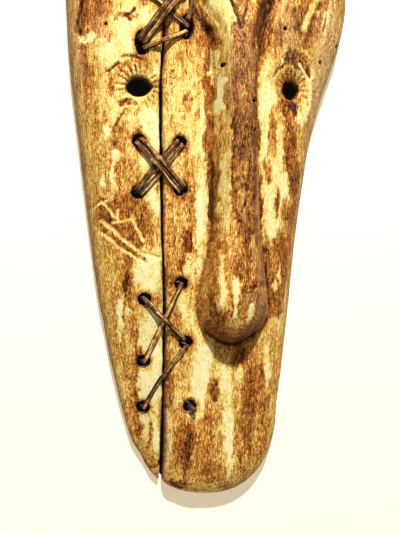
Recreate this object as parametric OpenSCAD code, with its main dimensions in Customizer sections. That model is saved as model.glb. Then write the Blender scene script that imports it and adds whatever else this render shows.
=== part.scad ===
// Carved wooden face mask, split down its length and laced together with split cane.
// The mask stands upright: X to the viewer's right, Y into the wall behind it, Z up.
// Carving sizes are laid out from the chin (Z = 0) with the back rim in the plane Y = 0,
// then every part is moved so that the point of the hanger ring that rests on the wall
// hook is the origin.

/* [Mask] */
// Height from the chin to the crown
mask_h = 500; // [460:5:540]
// Depth of the face in front of the back rim, without the nose
face_depth = 48; // [42:1:56]
// How far the nose stands above the face
nose_rise = 30; // [20:1:36]
// Width of the gap between the two boards
split_gap = 2.2; // [1.4:0.2:3.4]
// Width of the flat rim around the hollow back
rim_w = 11; // [8:1:14]

/* [Eyes] */
// Radius of the left eye hole
left_eye_r = 8.6; // [6:0.2:10]
// Extra width of the left eye hole
left_eye_stretch = 4; // [0:0.5:6]
// Radius of the right eye hole
right_eye_r = 6.6; // [5:0.2:9]

/* [Lacing] */
// Width of one strip of split cane
cane_w = 4.2; // [3.4:0.2:4.4]
// Thickness of one strip of split cane
cane_t = 1.6; // [1.2:0.1:1.8]
// Radius of the holes burnt for the cane
lace_r = 5; // [4.8:0.1:5.6]
// Gap kept between the cane and the wood
cane_gap = 0.5; // [0.4:0.1:1]

/* [Hanger] */
// Distance of the hanger's pivot below the crown
pivot_drop = 34; // [30:1:40]
// Sideways place of the hanger, near the centre of mass
hanger_x = 12; // [8:1:16]
// Depth of the pocket that lets the hanger lie below the rim
pocket_d = 8; // [7:0.5:10]
// Radius of the ring's wire
wire_r = 1.2; // [1:0.1:1.4]
// Inside half width of the ring
ring_r = 9; // [8:0.5:10]
// Radius of the hanger screws' shanks
screw_r = 1.6; // [1.4:0.1:1.8]

/* [Hidden] */

k = mask_h / 500;
wood = "tan";
cane = "saddlebrown";
steel = "silver";

// Outline of the rim: [height, sideways place] at the nominal height
left_side = [[12, -29], [22, -37.5], [34, -44], [46, -51], [79, -61], [112, -68.5], [161, -78],
             [210, -85], [306, -96.5], [355, -102], [403, -104.5], [500, -108]];
right_side = [[72, 71], [110, 76], [160, 81.5], [210, 86.5], [278, 96.5], [312, 104],
              [347, 115.5], [381, 127], [416, 132], [500, 134]];
chin_h = 72;
chin_x = 17;
crown_h = 400;
crown_x = 12;
split_line = [[0, -27.5], [60, -27.8], [150, -28.5], [240, -32], [330, -33.5], [370, -31], [500, -32]];
split_corner_h = 14;
edge_h = 5;
left_low = 12.2;
left_high = 492.5;
nose_tip_low = 125;
nose_tip_high = 149;
// How much higher the sides of the tip end than its middle, and the height where that fades out
tip_round = 14;
tip_fade = 40;

// Depth of the face in front of the rim plane, as a share of face_depth
swell = [[0, 0.17], [6, 0.33], [20, 0.44], [60, 0.53], [125, 0.66], [200, 0.8], [280, 0.92],
         [340, 0.97], [400, 1], [500, 0.96]];
// Depth of the hollow behind the face, in millimetres; below zero there is no hollow
hollow = [[22, -3], [32, 5], [60, 12], [120, 18], [200, 25], [300, 31], [380, 33], [412, 27],
          [430, -3], [500, -3]];
// How far the left board has sunk behind the right one
sunk = [[0, 6], [60, 5], [130, 3], [220, 0], [500, 0]];

// Nose: crest line, half width of its flat crest, widths of its flanks and its rise
crest_x = [[126, 25], [165, 25.5], [215, 31], [280, 29.5], [355, 28.5], [400, 26], [500, 20]];
crest_w = [[126, 9], [150, 13], [170, 12], [215, 9], [280, 8.5], [355, 9], [400, 15], [460, 30]];
left_flank = [[126, 10], [150, 17], [190, 17], [215, 17], [280, 16], [357, 14], [400, 20], [460, 26]];
right_flank = [[126, 9], [150, 13], [190, 13], [215, 9], [280, 7], [357, 8], [400, 18], [460, 30]];
rise = [[126, 0], [128, 0.34], [133, 0.62], [142, 0.86], [158, 1], [180, 1], [230, 0.8], [290, 0.84],
        [350, 0.8], [400, 0.5], [450, 0.2], [500, 0.05]];

left_eye = [-50, 328.5];
right_eye = [75.6, 332];
right_socket_r = 24;
right_socket_d = 5;

// Lace holes: [sideways place, height]
brow_left = [-48.5, 362];
brow_right = [-13.5, 375];
crown_left = [-47, 404];
crown_right = [-12, 412];
cheek_tl = [-50.5, 286];
cheek_tr = [-18.5, 285];
cheek_bl = [-50.5, 246.5];
cheek_br = [-17, 249];
jaw_l1 = [-44.5, 162];
jaw_l2 = [-44, 112];
jaw_l3 = [-43.5, 74.5];
jaw_r1 = [-16, 174.5];
jaw_r2 = [-11.5, 127.5];
jaw_r3 = [-7, 75.5];
brow_stretch = 4;

// Strips that share a pair of holes lie this far to each side of its middle
brow_side = 2.3;
cheek_side = 2.2;
// Extra height of a strip that passes over another one, in front or behind
over = 3.4;
jaw_over = 4.2;
brow_over = 7;

left_holes = [cheek_tl, cheek_bl, jaw_l1, jaw_l2, jaw_l3];
right_holes = [cheek_tr, cheek_br, jaw_r1, jaw_r2, jaw_r3];
left_tall_holes = [brow_left, crown_left];
right_tall_holes = [brow_right, crown_right];

ring_leg = 3;
barrel_wall = 1.1;
plate_t = 1.2;
bore_gap = 0.06;
bore_r = wire_r + bore_gap;
barrel_r = bore_r + barrel_wall;
screw_hole_r = screw_r + 0.3;
pilot_r = screw_r + 0.05;
strap_w = 11;
strap_l = 30;
screw_drops = [11, 23];
pocket_w = 36;
pocket_up = 20;
pocket_down = 34;
pocket_corner = 6;
pivot_h = mask_h - pivot_drop;
pivot_y = -pocket_d + barrel_r;
hook = [hanger_x, pivot_y, pivot_h + ring_leg + ring_r];
far = 1000;
hole_reach = 90;

// Index of the table row just below z
function row(z, t, i = 0) = i >= len(t) - 2 || z < t[i + 1][0] ? i : row(z, t, i + 1);

// Slope of a table at row i
function slope(t, i) =
    let (a = max(i - 1, 0), b = min(i + 1, len(t) - 1)) (t[b][1] - t[a][1]) / (t[b][0] - t[a][0]);

// Smooth curve through the rows of a table, level outside them
function smooth(z, t) =
    z <= t[0][0] ? t[0][1] : z >= t[len(t) - 1][0] ? t[len(t) - 1][1] :
    let (i = row(z, t), d = t[i + 1][0] - t[i][0], u = (z - t[i][0]) / d, v = 1 - u)
    v * v * (1 + 2 * u) * t[i][1] + u * u * (3 - 2 * u) * t[i + 1][1]
    + d * u * v * (v * slope(t, i) - u * slope(t, i + 1));

function ramp(u) = let (c = min(max(u, 0), 1)) c * c * (3 - 2 * c);
function mix(a, b, u) = a + (b - a) * u;

// 1 over most of the height and round down to 0 at the crown
function crown(z) = z < crown_h ? 1 : sqrt(max(1 - pow((z - crown_h) / (500 - crown_h), 2.3), 0));
// 1 above the chin and round down to 0 at its lowest point
function chin(z) = z > chin_h ? 1 : sqrt(max(1 - pow((chin_h - z) / chin_h, 2.3), 0));

function split_at(z) = smooth(z, split_line);
function left_at(z) = mix(crown_x, smooth(z, left_side), crown(z));
function right_at(z) =
    mix(crown_x, mix(chin_x, smooth(z, right_side), chin(z)), crown(z));
// Side of the right board that faces the split, rounded off at the chin
function corner(z) =
    z > split_corner_h ? 1 : sqrt(max(1 - pow((split_corner_h - z) / split_corner_h, 2), 0));
function inner_at(z) =
    max(mix(chin_x - 2, split_at(z) + split_gap / 2, corner(z)), left_at(z));
function outline_left(z) = z < left_side[0][0] ? inner_at(z) : left_at(z);

// Cross-section of the face: 1 over the middle, 0 at both edges
function arch(x, z, inset = 0) =
    let (a = outline_left(z) + inset, b = right_at(z) - inset, t = (2 * x - a - b) / max(b - a, 0.01))
    pow(max(1 - pow(abs(t), 2.6), 0), 0.42);

function nose(x, z) =
    let (d = x - smooth(z, crest_x), w = smooth(z, crest_w), side = abs(d) - w,
         flank = d < 0 ? smooth(z, left_flank) : smooth(z, right_flank),
         round_off = tip_round * pow(min(abs(d) / (w + flank), 1), 2)
                     * (1 - ramp((z - nose_tip_high) / tip_fade)))
    nose_rise * smooth(z - round_off, rise) * crown(z)
    * (1 - ramp(side / flank)) * (1 - 0.1 * pow(min(abs(d) / w, 1), 2));

function socket(x, z) = right_socket_d
    * (1 - ramp(norm([x - right_eye[0], (z - right_eye[1]) * 0.8]) / right_socket_r));

// Depth of the carved front in front of the rim plane, at nominal size
function front(x, z) =
    let (e = edge_h * min(crown(z), 1), base = face_depth * smooth(z, swell) * pow(crown(z), 0.7))
    e + max(base - e, 0) * arch(x, z) + nose(x, z) * pow(arch(x, z), 0.4) - socket(x, z)
    - (x < split_at(z) ? smooth(z, sunk) * ramp(arch(x, z) * 1.6) : 0);

// Depth of the hollow back behind the rim plane; -2 over the rim itself
function back(x, z) =
    let (d = smooth(z, hollow), e = 2) d <= 0 ? -e : -e + (d + e) * arch(x, z, rim_w);

// Heights from low up to high, about step apart and without the last
function steps(low, high, step) =
    let (n = round((high - low) / step)) [for (i = [0:n - 1]) mix(low, high, i / n)];

// Heights of the cross-sections, close together at the rounded ends and the nose's tip
function stations(low, high) =
    let (end = 24)
    concat([for (a = [6:12:78]) low + end * (1 - cos(a))],
           steps(low + end, nose_tip_low, 8.6), steps(nose_tip_low, nose_tip_high, 3),
           steps(nose_tip_high, high - end, 8.8),
           [for (a = [90:-12:6]) high - end * (1 - cos(a))]);

// Places from a to b, closer together towards b
function spread(a, b, n) = [for (i = [0:n]) mix(a, b, 1 - pow(1 - i / n, 1.4))];

// One cross-section: along the front through the places given, then along the back again
function section(places, z, backs) =
    let (a = places[0], b = places[len(places) - 1])
    concat([for (x = places) [x, -front(x, z), z]],
           [for (i = [0:backs])
               let (u = i / backs, x = mix(b, a, ramp(u) * 0.4 + u * 0.6))
               [x, -back(x, z), z]]);

// Places across the right board that follow the foot and the crest of the nose
function nose_places(z) =
    let (a = inner_at(z), b = right_at(z), w = b - a, c = smooth(z, crest_x), r = smooth(z, crest_w),
         knots = [c - r - smooth(z, left_flank), c - r, c + r, c + r + smooth(z, right_flank)],
         low = [0.1, 0.2, 0.35, 0.45], high = [0.35, 0.5, 0.65, 0.75],
         q = [for (i = [0:3]) min(max(knots[i], a + low[i] * w), a + high[i] * w)])
    concat([for (i = [0:3]) mix(a, q[0], i / 4)],
           [for (j = [0:2], i = [0:3]) mix(q[j], q[j + 1], i / 4)],
           spread(q[3], b, 10));

// Closed solid through equal-sized rings of points
module loft(rings, closed = false) {
    n = len(rings[0]);
    m = len(rings);
    points = [for (r = rings) each r];
    walls = [for (j = [0:m - (closed ? 1 : 2)], i = [0:n - 1])
             let (p = j * n, q = (j + 1) % m * n, h = (i + 1) % n)
             each [[p + i, p + h, q + h], [p + i, q + h, q + i]]];
    ends = closed ? [] : [[0, for (i = [n - 1:-1:1]) i], [for (i = [0:n - 1]) (m - 1) * n + i]];
    polyhedron(points = points, faces = concat(walls, ends), convexity = 10);
}

// Moves a part from the carving's place to the hanger's origin
module placed() translate(-hook) children();

// Half-space in front of the rim plane
module in_front() translate([-far / 2, -far, -far / 2]) cube([far, far, 2 * far]);

// Round hole straight through the board
module hole(at, r) translate([at[0], 0, at[1]] * k) rotate([90, 0, 0])
    cylinder(h = 2 * hole_reach, r = r, center = true, $fn = 48);

// Oval hole straight through the board, with its half width and half height
module oval_hole(at, wide, tall) translate([at[0], 0, at[1]] * k) rotate([90, 0, 0])
    linear_extrude(height = 2 * hole_reach, center = true)
        polygon([for (a = [0:15:345]) [wide * cos(a), tall * sin(a)]]);

module board(rings) intersection() {
    scale(k) loft(rings);
    in_front();
}

module left_board() color(wood) placed() difference() {
    board([for (z = stations(left_low, left_high))
           section(spread(split_at(z) - split_gap / 2, left_at(z), 13), z, 7)]);
    oval_hole(left_eye, left_eye_r + left_eye_stretch / 2, left_eye_r);
    for (p = left_holes) hole(p, lace_r);
    for (p = left_tall_holes) oval_hole(p, lace_r, lace_r + brow_stretch);
}

module right_board() color(wood) placed() difference() {
    heights = stations(0, 500);
    board([for (i = [len(heights) - 1:-1:0]) section(nose_places(heights[i]), heights[i], 10)]);
    hole(right_eye, right_eye_r);
    for (p = right_holes) hole(p, lace_r);
    for (p = right_tall_holes) oval_hole(p, lace_r, lace_r + brow_stretch);
    pocket();
    for (d = screw_drops) translate([hanger_x, 1, pivot_h - d]) rotate([90, 0, 0])
        cylinder(h = pocket_d + 16, r = pilot_r, $fn = 48);
}

// Recess in the solid forehead, behind the hanger
module pocket() translate([hanger_x, -pocket_d, pivot_h]) {
    for (sx = [-1, 1], z = [pocket_corner - pocket_down, pocket_up - pocket_corner])
        translate([sx * (pocket_w / 2 - pocket_corner), 0, z]) rotate([-90, 0, 0])
            cylinder(h = far / 10, r = pocket_corner, $fn = 48);
    translate([-pocket_w / 2, 0, pocket_corner - pocket_down])
        cube([pocket_w, far / 10, pocket_up + pocket_down - 2 * pocket_corner]);
    translate([pocket_corner - pocket_w / 2, 0, -pocket_down])
        cube([pocket_w - 2 * pocket_corner, far / 10, pocket_up + pocket_down]);
}

// Rounded strip section, [across, outward] from its middle
function strip_points(w, t) = [for (p = [[1, -0.35], [0.7, -1], [-0.7, -1], [-1, -0.35],
                                         [-1, 0.35], [-0.7, 1], [0.7, 1], [1, 0.35]])
                               [p[0] * w / 2, p[1] * t / 2]];

// Ring of strip points at [along, depth], for a path that heads at angle a
function strip_ring(origin, dir, along, depth, a, shift, w, t) =
    [for (p = strip_points(w, t))
        let (s = along - p[1] * sin(a), h = depth + p[1] * cos(a), n = shift + p[0])
        [origin[0] + dir[0] * s - dir[1] * n, -h, origin[1] + dir[1] * s + dir[0] * n]];

// One loop of cane: across the front from hole a to hole b, through b and back behind.
// shift moves it sideways and bow adds a sideways belly in the middle. lift raises the
// middle of its front over another strip, perch its front beside hole b, and drop moves
// its back run away from the wood. to moves its far end along its own direction.
function lace_rings(a, b, shift, bow, lift, perch, drop, to) =
    let (len = norm(b - a), dir = (b - a) / len, end = len + to, r = 1.9, n = 12, m = 5,
         side = function (s) shift + bow * sin(180 * s / end),
         x = function (s) a[0] + dir[0] * s - dir[1] * side(s),
         z = function (s) a[1] + dir[1] * s + dir[0] * side(s),
         top = function (s) max([for (e = [-1, 0, 1]) let (o = e * cane_w / 2)
                    front(x(s) - dir[1] * o, z(s) + dir[0] * o)])
                + cane_t / 2 + cane_gap + lift * exp(-pow((s - end / 2) / 7, 2))
                + perch * ramp((s - end + 18) / 8),
         low = function (s) min([for (e = [-1, 0, 1]) let (o = e * cane_w / 2)
                    back(x(s) - dir[1] * o, z(s) + dir[0] * o)]) - cane_t / 2 - cane_gap - drop,
         ring = function (s, h, ang) strip_ring(a, dir, s, h, ang, side(s), cane_w, cane_t),
         q0 = r, q1 = end - r)
    concat(
        [for (i = [0:n]) let (s = mix(q0, q1, i / n), e = 0.5)
            ring(s, top(s), i == 0 || i == n ? 0 : atan2(top(s + e) - top(s - e), 2 * e))],
        [for (ang = [-30, -60, -90]) ring(q1 - r * sin(ang), top(q1) - r * (1 - cos(ang)), ang)],
        [for (ang = [-90, -120, -150]) ring(q1 - r * sin(ang), low(q1) + r * (1 + cos(ang)), ang)],
        [for (i = [0:m]) let (s = mix(q1, q0, i / m), e = 0.5)
            ring(s, low(s), i == 0 || i == m ? 180 : 180 + atan2(low(s + e) - low(s - e), 2 * e))],
        [for (ang = [210, 240, 270]) ring(q0 + r * sin(ang), low(q0) + r * (1 + cos(ang)), ang)],
        [for (ang = [270, 300, 330]) ring(q0 + r * sin(ang), top(q0) - r * (1 - cos(ang)), ang)]);

module lace(a, b, shift = 0, bow = 0, lift = 0, perch = 0, drop = 0, to = 0)
    color(cane) placed() scale(k)
        loft(lace_rings(a, b, shift, bow, lift, perch, drop, to), closed = true);

module brow_band(side) lace(brow_left + [0.1, 2], crown_right,
                            shift = side, lift = brow_over, perch = over, drop = over, to = 1);
module brow_band_inner() brow_band(brow_side);
module brow_band_outer() brow_band(-brow_side);
module brow_back_strand() lace(brow_right + [0.4, 0.4], crown_left, lift = 0.4);
module brow_cross_strand() lace(brow_left + [1.8, -4.4], brow_right + [-1, -3.8], lift = 3.2);
module brow_side_strand() lace(brow_right + [0.4, 6], crown_right - [0, 5.6], bow = -2.6);

module cheek_over(side) lace(cheek_tl, cheek_br, shift = side, lift = over, drop = over);
module cheek_under(side) lace(cheek_tr, cheek_bl, shift = side, bow = side / 2);
module cheek_over_upper() cheek_over(cheek_side);
module cheek_over_lower() cheek_over(-cheek_side);
module cheek_under_upper() cheek_under(-cheek_side);
module cheek_under_lower() cheek_under(cheek_side);

module jaw_top_strand() lace(jaw_r1, jaw_l2);
module jaw_middle_strand() lace(jaw_l1, jaw_r2 + [-1.8, 1.9], lift = jaw_over, drop = over);
module jaw_bottom_strand() lace(jaw_r2 + [0.6, -2.4], jaw_l3, bow = -2);

// Broken end of a strand, left standing in its hole
module broken_cane_stub() color(cane) placed() scale(k) {
    dir = [0.75, -0.66];
    top = front(jaw_r3[0], jaw_r3[1]);
    path = [[-1.6, -12, 80], [-1.6, -6, 84], [-1.2, -1, 70], [-0.2, 1.4, 48], [2.2, 3, 26], [6, 4.2, 12]];
    loft([for (p = path) strip_ring(jaw_r3, dir, p[0], top + p[1], p[2], 0, cane_w, cane_t)]);
}

module hanger_strap() color(steel) placed() translate([hanger_x, pivot_y, pivot_h]) difference() {
    union() {
        rotate([0, 90, 0]) cylinder(h = strap_w, r = barrel_r, center = true, $fn = 48);
        translate([-strap_w / 2, -barrel_r, -strap_l + strap_w / 2])
            cube([strap_w, plate_t, strap_l - strap_w / 2]);
        translate([0, -barrel_r, -strap_l + strap_w / 2]) rotate([-90, 0, 0])
            cylinder(h = plate_t, r = strap_w / 2, $fn = 48);
    }
    rotate([0, 90, 0]) cylinder(h = 2 * strap_w, r = bore_r, center = true, $fn = 48);
    for (d = screw_drops) translate([0, 0, -d]) rotate([90, 0, 0])
        cylinder(h = 3 * barrel_r, r = screw_hole_r, center = true, $fn = 48);
}

module hanger_ring() color(steel) placed() translate([hanger_x, pivot_y, pivot_h]) {
    leg_x = ring_r + wire_r;
    rotate([0, 90, 0]) cylinder(h = 2 * leg_x, r = wire_r, center = true, $fn = 48);
    for (s = [-1, 1]) translate([s * leg_x, 0, 0]) {
        sphere(r = wire_r, $fn = 48);
        cylinder(h = ring_leg, r = wire_r, $fn = 48);
    }
    translate([0, 0, ring_leg]) rotate([90, 0, 0])
        rotate_extrude(angle = 180, $fn = 48) translate([leg_x, 0]) circle(r = wire_r, $fn = 48);
}

module hanger_screws() color(steel) placed() for (d = screw_drops)
    translate([hanger_x, -pocket_d + plate_t, pivot_h - d]) {
        head_r = 3.1;
        head_h = 1.7;
        shank_l = 13;
        rotate([-90, 0, 0]) rotate_extrude($fn = 48) difference() {
            polygon([[0, -shank_l - 2], [screw_r, -shank_l], [screw_r, 0], [head_r, 0],
                     [head_r, head_h * 0.5], [head_r * 0.72, head_h], [0, head_h]]);
            translate([0, head_h - 0.8]) square([0.5, 1]);
        }
    }

left_board();
right_board();
brow_band_inner();
brow_band_outer();
brow_back_strand();
brow_cross_strand();
brow_side_strand();
cheek_over_upper();
cheek_over_lower();
cheek_under_upper();
cheek_under_lower();
jaw_top_strand();
jaw_middle_strand();
jaw_bottom_strand();
broken_cane_stub();
hanger_strap();
hanger_ring();
hanger_screws();
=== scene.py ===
"""Looks of a carved wooden mask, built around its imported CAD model.

Shapes are worked out in millimetres in the carving's own coordinates: x across, h out from the
plane of the back rim and z up from the chin. to_frame() turns them into the frame's metres.
"""

import math

import bpy
import numpy as np
import openvdb
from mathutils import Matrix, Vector


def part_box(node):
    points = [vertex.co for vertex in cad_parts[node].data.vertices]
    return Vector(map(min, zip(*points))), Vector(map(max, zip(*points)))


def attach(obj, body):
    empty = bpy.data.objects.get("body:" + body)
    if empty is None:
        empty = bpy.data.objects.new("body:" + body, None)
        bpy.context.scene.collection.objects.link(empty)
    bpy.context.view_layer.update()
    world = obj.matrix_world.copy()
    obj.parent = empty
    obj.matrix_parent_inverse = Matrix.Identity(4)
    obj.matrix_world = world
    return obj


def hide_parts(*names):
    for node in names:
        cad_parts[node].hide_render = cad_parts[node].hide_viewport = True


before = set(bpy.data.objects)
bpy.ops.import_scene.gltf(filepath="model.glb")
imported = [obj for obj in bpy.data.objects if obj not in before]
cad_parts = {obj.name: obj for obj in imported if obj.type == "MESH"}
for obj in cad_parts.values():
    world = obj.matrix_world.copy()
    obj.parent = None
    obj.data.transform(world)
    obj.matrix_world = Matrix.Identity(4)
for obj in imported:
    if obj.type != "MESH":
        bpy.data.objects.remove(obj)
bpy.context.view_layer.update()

# ---------------------------------------------------------------- place in the frame
MM = 0.001
HANGER_X = 12.0
RIM_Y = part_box("right_board")[1].y
CHIN_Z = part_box("right_board")[0].z


def to_frame(x, h, z):
    """Carving coordinates in millimetres to frame coordinates in metres."""
    x, h, z = np.broadcast_arrays(x, h, z)
    return np.stack([(x - HANGER_X) * MM, RIM_Y - h * MM, CHIN_Z + z * MM], -1)


# ---------------------------------------------------------------- camera
CAMERA_AZIMUTH = math.radians(-12)
CAMERA_DISTANCE = 0.75
CAMERA_TARGET = Vector(to_frame(0.0, 32.0, 188.0))
VIEW_HEIGHT = 0.4264
SENSOR = 36.0


def add_camera():
    data = bpy.data.cameras.new("camera")
    data.sensor_width = SENSOR
    data.lens = SENSOR * CAMERA_DISTANCE / VIEW_HEIGHT
    data.clip_start = 0.01
    camera = bpy.data.objects.new("camera", data)
    bpy.context.scene.collection.objects.link(camera)
    away = Vector((math.sin(CAMERA_AZIMUTH), -math.cos(CAMERA_AZIMUTH), 0))
    camera.location = CAMERA_TARGET + away * CAMERA_DISTANCE
    camera.rotation_euler = (-away).to_track_quat("-Z", "Y").to_euler()
    bpy.context.scene.camera = camera


add_camera()

# ---------------------------------------------------------------- the carving's driving shape
HEIGHT = 500.0
FACE_DEPTH = 48.0
NOSE_RISE = 30.0
SPLIT_GAP = 2.2
RIM_W = 11.0
EDGE_H = 5.0
CHIN_H, CHIN_X = 72.0, 17.0
CROWN_H, CROWN_X = 400.0, 12.0
SPLIT_CORNER_H = 14.0

LEFT_SIDE = [(12, -29), (22, -37.5), (34, -44), (46, -51), (79, -61), (112, -68.5), (161, -78),
             (210, -85), (306, -96.5), (355, -102), (403, -104.5), (500, -108)]
RIGHT_SIDE = [(72, 71), (110, 76), (160, 81.5), (210, 86.5), (278, 96.5), (312, 104),
              (347, 115.5), (381, 127), (416, 132), (500, 134)]
SPLIT_LINE = [(0, -27.5), (60, -27.8), (150, -28.5), (240, -32), (330, -33.5), (370, -31), (500, -32)]
SWELL = [(0, 0.17), (6, 0.33), (20, 0.44), (60, 0.53), (125, 0.66), (200, 0.8), (280, 0.92),
         (340, 0.97), (400, 1), (500, 0.96)]
HOLLOW = [(22, -3), (32, 5), (60, 12), (120, 18), (200, 25), (300, 31), (380, 33), (412, 27),
          (430, -3), (500, -3)]
SUNK = [(0, 6), (60, 5), (130, 3), (220, 0), (500, 0)]
CREST_X = [(126, 25), (165, 25.5), (215, 31), (280, 29.5), (355, 28.5), (400, 26), (500, 20)]
CREST_W = [(126, 9), (150, 13), (170, 12), (215, 9), (280, 8.5), (355, 9), (400, 15), (460, 30)]
LEFT_FLANK = [(126, 10), (150, 17), (190, 17), (215, 17), (280, 16), (357, 14), (400, 20), (460, 26)]
RIGHT_FLANK = [(126, 12), (150, 21), (175, 18), (190, 14), (215, 9), (280, 7), (357, 8), (400, 18),
               (460, 30)]
RISE = [(126, 0), (128, 0.34), (133, 0.62), (142, 0.86), (158, 1), (180, 1), (230, 0.8),
        (290, 0.84), (350, 0.8), (400, 0.5), (450, 0.2), (500, 0.05)]
TIP_ROUND, TIP_TOP, TIP_FADE = 14.0, 149.0, 40.0
OUTLINE_POWER = 2.3
LEFT_EYE = (-50.0, 328.5)
RIGHT_EYE = (75.6, 332.0)
SOCKET_R, SOCKET_D = 24.0, 5.0


def curve(z, rows):
    """Smooth curve through (height, value) rows, level outside them."""
    t = np.array(rows, float)
    a, v = t[:, 0], t[:, 1]
    slope = np.empty(len(t))
    slope[1:-1] = (v[2:] - v[:-2]) / (a[2:] - a[:-2])
    slope[0] = (v[1] - v[0]) / (a[1] - a[0])
    slope[-1] = (v[-1] - v[-2]) / (a[-1] - a[-2])
    z = np.clip(np.asarray(z, float), a[0], a[-1])
    i = np.clip(np.searchsorted(a, z, side="right") - 1, 0, len(t) - 2)
    d = a[i + 1] - a[i]
    u = (z - a[i]) / d
    w = 1 - u
    return (w * w * (1 + 2 * u) * v[i] + u * u * (3 - 2 * u) * v[i + 1]
            + d * u * w * (w * slope[i] - u * slope[i + 1]))


def ramp(u):
    c = np.clip(u, 0, 1)
    return c * c * (3 - 2 * c)


def mix(a, b, u):
    return a + (b - a) * u


def rounded_end(p):
    """Width left, from 1 to 0, as p runs from 0 to 1 over the end of an oval."""
    return np.sqrt(1 - np.clip(p, 0, 1) ** OUTLINE_POWER)


def crown(z):
    return rounded_end((z - CROWN_H) / (HEIGHT - CROWN_H))


def chin(z):
    return rounded_end((CHIN_H - z) / CHIN_H)


def left_at(z):
    return mix(CROWN_X, curve(z, LEFT_SIDE), crown(z))


def right_at(z):
    return mix(CROWN_X, mix(CHIN_X, curve(z, RIGHT_SIDE), chin(z)), crown(z))


def inner_at(z):
    p = np.clip((SPLIT_CORNER_H - z) / SPLIT_CORNER_H, 0, 1)
    beside_split = mix(CHIN_X - 2, curve(z, SPLIT_LINE) + SPLIT_GAP / 2, np.sqrt(1 - p ** 2))
    return np.maximum(beside_split, left_at(z))


def arch(x, z, inset=0.0):
    a = np.where(z < LEFT_SIDE[0][0], inner_at(z), left_at(z)) + inset
    b = right_at(z) - inset
    t = (2 * x - a - b) / np.maximum(b - a, 0.01)
    return np.clip(1 - np.abs(t) ** 2.6, 0, None) ** 0.42


def nose(x, z, roundness=0.0):
    """Rise of the nose; roundness turns its smooth flanks into the steep sides of a bulb."""
    d = x - curve(z, CREST_X)
    w = curve(z, CREST_W)
    flank = np.where(d < 0, curve(z, LEFT_FLANK), curve(z, RIGHT_FLANK))
    smooth = (1 - ramp((np.abs(d) - w) / flank)) * (1 - 0.1 * np.minimum(np.abs(d) / w, 1) ** 2)
    bulb = np.clip(1 - (np.abs(d) / (w + 0.9 * flank)) ** 2.3, 0, 1) ** 0.62
    off_crest = np.minimum(np.abs(d) / (w + flank), 1)
    round_off = TIP_ROUND * off_crest ** 2 * (1 - ramp((z - TIP_TOP) / TIP_FADE))
    return NOSE_RISE * curve(z - round_off, RISE) * crown(z) * mix(smooth, bulb, roundness)


def socket(x, z):
    return SOCKET_D * (1 - ramp(np.hypot(x - RIGHT_EYE[0], (z - RIGHT_EYE[1]) * 0.8) / SOCKET_R))


def front(x, z):
    """Depth of the plain carved front before the rim plane."""
    e = EDGE_H * crown(z)
    base = FACE_DEPTH * curve(z, SWELL) * crown(z) ** 0.7
    a = arch(x, z)
    sunk = np.where(x < curve(z, SPLIT_LINE), curve(z, SUNK) * ramp(a * 1.6), 0)
    return e + np.maximum(base - e, 0) * a + nose(x, z) * a ** 0.4 - socket(x, z) - sunk


def back(x, z):
    """Depth of the hollow, below 0 where there is none."""
    d = curve(z, HOLLOW)
    return np.where(d <= 0, -2.0, -2.0 + (d + 2) * arch(x, z, RIM_W))


# ---------------------------------------------------------------- noise
def lattice(u, v, seed):
    """Smooth value noise from -1 to 1, one cell per unit."""
    table = np.random.RandomState(seed).rand(256, 256) * 2 - 1
    i, j = np.floor(u).astype(int), np.floor(v).astype(int)
    fu, fv = u - i, v - j
    fu, fv = fu ** 3 * (fu * (fu * 6 - 15) + 10), fv ** 3 * (fv * (fv * 6 - 15) + 10)
    at = lambda di, dj: table[(i + di) & 255, (j + dj) & 255]
    return mix(mix(at(0, 0), at(1, 0), fu), mix(at(0, 1), at(1, 1), fu), fv)


def noise(x, z, size_x, size_z, seed, octaves=3):
    """Sum of octaves, about -1 to 1, with cells of size_x by size_z millimetres."""
    total, amount = 0.0, 0.0
    for k in range(octaves):
        s = 2.0 ** k
        total = total + lattice(x * s / size_x + 17.3 * k, z * s / size_z - 9.1 * k, seed + k) / s
        amount += 1 / s
    return total / amount * 1.4


def scallops(x, z, size_x, size_z, seed):
    """Depth from 0 to 1 within each round cut of a gouge, in jittered rows."""
    jitter = np.random.RandomState(seed).rand(64, 64, 2)
    u, v = x / size_x, z / size_z
    i, j = np.floor(u).astype(int), np.floor(v).astype(int)
    near = np.full(np.shape(u), 9.0)
    for di in (-1, 0, 1):
        for dj in (-1, 0, 1):
            p = jitter[(i + di) & 63, (j + dj) & 63]
            d = np.hypot(u - (i + di + p[..., 0]), v - (j + dj + p[..., 1]))
            near = np.minimum(near, d)
    return np.clip(1 - near ** 2, 0, 1)


def stroke_distance(x, z, points):
    """Distance from a line through the points."""
    best = np.full(np.shape(x), 1e9)
    for (ax, az), (bx, bz) in zip(points[:-1], points[1:]):
        dx, dz = bx - ax, bz - az
        t = np.clip(((x - ax) * dx + (z - az) * dz) / (dx * dx + dz * dz), 0, 1)
        best = np.minimum(best, np.hypot(x - ax - t * dx, z - az - t * dz))
    return best


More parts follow.
